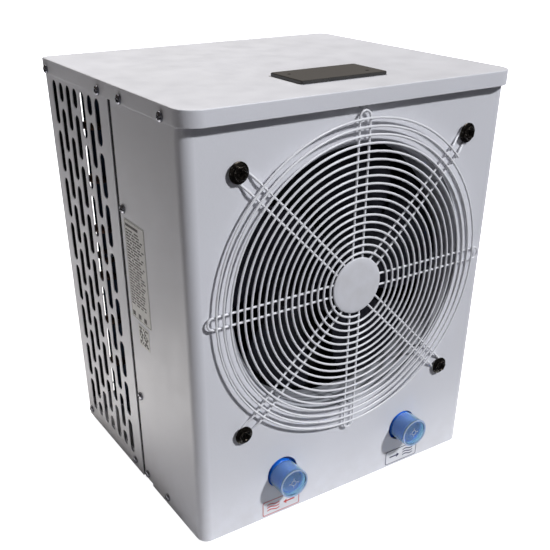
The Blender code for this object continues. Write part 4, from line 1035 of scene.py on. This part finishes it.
def build_port_labels():
    """Stickers under the ports: a framed sign of water and an arrow, out at the left and in at the right."""
    for word, ink, way in (("outlet", "print_red", -1), ("inlet", "print_navy", 1)):
        low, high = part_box(word + "_label")
        width, height = high.x - low.x, high.z - low.z
        at = upright(facing(((low.x + high.x) / 2, FRONT_Y - 0.1 * MM, (low.z + high.z) / 2), (0, -1, 0)))
        sticker(word + "_sticker", width, height, 2.6 * MM, 6, at, replaced=[word + "_label"])
        bm = bmesh.new()
        frame_strip(bm, width - 1.4 * MM, height - 1.4 * MM, 2.2 * MM, 0.9 * MM)
        arrow(bm, -way * 19 * MM, -way * 3 * MM, 2 * MM, 4.5 * MM)
        for k in (-1, 0, 1):
            wave(bm, (way * 11 * MM, k * 4 * MM), 17 * MM, 1.5 * MM, 1.1 * MM)
        lift = Matrix.Translation((0, -STICKER_THICK, 0))
        piece(word + "_print", bm, "label", finish=ink, at=lift @ at)


def upright(at):
    """The same placement, turned so that its Y axis points as nearly up as it can."""
    z_axis = at.to_3x3().col[2]
    x_axis = Vector((0, 0, 1)).cross(z_axis).normalized()
    y_axis = z_axis.cross(x_axis)
    axes = Matrix((x_axis, y_axis, z_axis)).transposed().to_4x4()
    return Matrix.Translation(at.translation) @ axes


def add_print_row(bm, left, right, low, row):
    """Row of short bars of uneven length, which stands for a line of small print."""
    x = left
    word = 0
    while True:
        part = (0.618 * (7 * row + 3 * word)) % 1
        end = x + (3.5 + 9 * part) * MM
        if end > right:
            break
        bar(bm, (x, low), (end, low + 1.5 * MM))
        x = end + (1.2 + 4 * ((0.382 * (row + 5 * word)) % 1) ** 2) * MM
        word += 1


def build_rating_label():
    """Rating sticker on the left wing with rows of printed bars, and a small square sticker below it."""
    low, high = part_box("rating_label")
    width, height = high.y - low.y, high.z - low.z
    centre = Vector((-HALF_W - 0.1 * MM, (low.y + high.y) / 2, (low.z + high.z) / 2))
    at = upright(facing(centre, (-1, 0, 0)))
    sticker("rating_sticker", width, height, 1.5 * MM, 4, at, "rating_paper", ["rating_label"])
    bm = bmesh.new()
    frame_strip(bm, width - 2 * MM, height - 2 * MM, 1.2 * MM, 0.4 * MM)
    left, right, top = -width / 2 + 3 * MM, width / 2 - 3 * MM, height / 2
    bar(bm, (left, top - 7.5 * MM), (left + 30 * MM, top - 4.5 * MM))
    for row in range(PRINT_ROWS):
        add_print_row(bm, left, right, top - 12 * MM - row * PRINT_PITCH, row)
    for k in range(3):
        x = left + k * 14 * MM
        bar(bm, (x, -top + 3 * MM), (x + 6.5 * MM, -top + 8.5 * MM))
    lift = Matrix.Translation((-STICKER_THICK, 0, 0))
    piece("rating_print", bm, "label", finish="print_dark", at=lift @ at)

    side = 26 * MM
    down = Vector((0, -2.5 * MM, -height / 2 - 3.9 * MM - side / 2))
    at = Matrix.Translation(down) @ at
    sticker("square_sticker", side, side, 1 * MM, 4, at, "rating_paper")
    bm = bmesh.new()
    cell = side / 11
    for row in range(9):
        for column in range(9):
            if (row * row + 3 * column + row * column) % 5 < 2 or (row + column) % 4 == 0:
                x, y = (column - 4.45) * cell, (row - 4.45) * cell
                bar(bm, (x, y), (x + 0.9 * cell, y + 0.9 * cell))
    piece("square_print", bm, "label", finish="print_dark", at=lift @ at)


# ---------------- carried-over CAD nodes

def dress_cad_nodes():
    """Give every CAD node its slot's finish, and smooth the faceted round ones."""
    slots = {part["node"]: part["material_slot"] for part in frame["record"]["subparts"]}
    for name, made in frame["nodes"].items():
        for index in range(len(made.data.materials)):
            made.data.materials[index] = finishes[slots[name]]
        made.data.shade_smooth()
        weld = made.modifiers.new("weld", "WELD")
        weld.merge_threshold = 0.01 * MM
        split = made.modifiers.new("split", "EDGE_SPLIT")
        split.split_angle = SMOOTH_ANGLE
        made.modifiers.new("flat_faces_stay_flat", "WEIGHTED_NORMAL")


# ---------------- stage

CAMERA_FROM_CENTRE = Vector((-505.9, -783.5, 615.1)) * MM   # from the cabinet's middle, at its foot
CAMERA_TILT = math.radians(90 - 30.32)
CAMERA_ROLL = math.radians(0.24)
CAMERA_TURN = math.radians(-33.42)
LENS_MM = 52.38
LENS_SHIFT = (-0.0012, 0.192)

KEY_POWER = 2.68
KEY_COLOUR = (0.94, 0.958, 1.0)
KEY_SPREAD = math.radians(5)
KEY_HEIGHT = math.radians(41)
KEY_SIDE = math.radians(27)                  # to the right of straight ahead
LAMP_COLOUR = (1, 0.97, 0.93)
ROOM_BRIGHT_WAY = Vector((0.55, -0.75, 0.35)).normalized()
ROOM_DARK = (0.074, 0.063, 0.056)
ROOM_BRIGHT = (0.062, 0.066, 0.078)
FLOOR_GLOW = 1.0
# Name, two corners in metres and tint
CARDS = (("card_left", (-5, -5, 0.004), (-0.75, 5, 0.006), (0.02, 0.018, 0.017)),
         ("card_front", (-0.75, -5, 0.004), (5, -0.25, 0.006), (0.06, 0.06, 0.075)),
         ("card_right", (0.35, -0.25, 0.004), (5, 5, 0.006), (0.5, 0.5, 0.51)))


def build_camera():
    data = bpy.data.cameras.new("camera")
    data.lens = LENS_MM
    data.sensor_width = 36
    data.clip_start = 0.01
    data.shift_x, data.shift_y = LENS_SHIFT
    camera = new_object("camera", data)
    centre = Vector((0, (FRONT_Y + REAR_Y) / 2, BASE_Z))
    camera.location = centre + CAMERA_FROM_CENTRE
    look = Matrix.Rotation(CAMERA_TURN, 4, "Z") @ Matrix.Rotation(CAMERA_TILT, 4, "X")
    camera.rotation_euler = (look @ Matrix.Rotation(CAMERA_ROLL, 4, "Z")).to_euler()
    bpy.context.scene.camera = camera
    for path, shift in (("shift_x", LENS_SHIFT[0]), ("shift_y", LENS_SHIFT[1])):
        hold_shift(camera, path, shift)


def hold_shift(camera, path, shift):
    """Shift the lens only at the camera's own place, so that a camera moved elsewhere stays centred."""
    driver = camera.data.driver_add(path).driver
    place = driver.variables.new()
    place.name = "x"
    place.targets[0].id = camera
    place.targets[0].data_path = "location[0]"
    driver.expression = "%f if abs(x - (%f)) < 0.001 else 0.0" % (shift, camera.location.x)


def add_lamp(name, kind, power, colour, at):
    data = bpy.data.lights.new(name, kind)
    data.energy = power
    data.color = colour
    return new_object(name, data, at)


def soft_light(name, at, target, size, power):
    light = add_lamp(name, "AREA", power, LAMP_COLOUR, facing(at, Vector(at) - Vector(target)))
    light.data.shape = "DISK"
    light.data.size = size
    light.visible_camera = False


def build_card(name, low, high, tint):
    """Card on the floor that only tints the light thrown back at the object."""
    card = new_object(name, mesh_of(block(low, high), name))
    card.data.materials.append(surface(name, tint, tint, 0.9, patches=3, grain=40))
    card.visible_camera = False
    card.visible_shadow = False


def build_stage():
    """Pale floor, a dim wrap of light that is darkest on the left, and soft lamps above."""
    bm = bmesh.new()
    bmesh.ops.create_circle(bm, cap_ends=True, radius=30, segments=96)
    floor = new_object("floor", mesh_of(bm, "floor"))
    floor.location.z = CAD_BOX[0].z
    finish = surface("floor", (0.88, 0.88, 0.89), (0.86, 0.86, 0.87), 0.6, patches=2, grain=60, depth=0.1)
    set_inputs(finish, Emission_Color=(1, 1, 1, 1))
    tree = finish.node_tree
    seen = node(tree, "ShaderNodeLightPath").outputs["Is Camera Ray"]
    tree.links.new(multiply(tree, seen, FLOOR_GLOW), shader_of(finish).inputs["Emission Strength"])
    floor.data.materials.append(finish)

    for name, low, high, tint in CARDS:
        build_card(name, low, high, tint)
    build_lamps()
    build_world()
    bpy.context.scene.view_settings.view_transform = "Standard"


def build_lamps():
    level = math.cos(KEY_HEIGHT)
    toward = Vector((level * math.sin(KEY_SIDE), -level * math.cos(KEY_SIDE), math.sin(KEY_HEIGHT)))
    key = add_lamp("key", "SUN", KEY_POWER, KEY_COLOUR, facing((0, 0, 3), toward))
    key.data.angle = KEY_SPREAD
    soft_light("back", (0.4, 1.5, 2.6), (0, 0, 0.4), 1.6, 45)
    soft_light("floor_left", (-0.47, 0.14, 0.01), (-0.47, 0.14, 1), 0.46, 0.6)


def build_world():
    """White to the camera, and a dim room to everything else: brighter one way than the other."""
    world = bpy.data.worlds.new("studio")
    world.use_nodes = True
    bpy.context.scene.world = world
    tree = world.node_tree
    tree.nodes.clear()
    white = node(tree, "ShaderNodeBackground", Color=(1, 1, 1, 1), Strength=1.0)
    bright = tree.nodes.new("ShaderNodeVectorMath")
    bright.operation = "DOT_PRODUCT"
    feed(tree, bright.inputs[0], node(tree, "ShaderNodeTexCoord").outputs["Generated"])
    feed(tree, bright.inputs[1], ROOM_BRIGHT_WAY)
    room = mix_colour(tree, remap(tree, bright.outputs["Value"], -0.5, 1.0), ROOM_DARK, ROOM_BRIGHT)
    lit = node(tree, "ShaderNodeBackground", Color=room, Strength=1.0)
    seen = node(tree, "ShaderNodeLightPath").outputs["Is Camera Ray"]
    mixed = tree.nodes.new("ShaderNodeMixShader")
    for socket, value in zip(mixed.inputs, (seen, lit.outputs[0], white.outputs[0])):
        feed(tree, socket, value)
    node(tree, "ShaderNodeOutputWorld", Surface=mixed.outputs[0])


dress_cad_nodes()
build_front_panel()
build_side_panels()
build_seam_shade_strips()
build_lid()
build_guard()
build_orifice()
build_impeller()
build_screws()
build_bolts()
build_ports()
build_coil()
build_rear_guard()
build_port_labels()
build_rating_label()
build_stage()
build_camera()
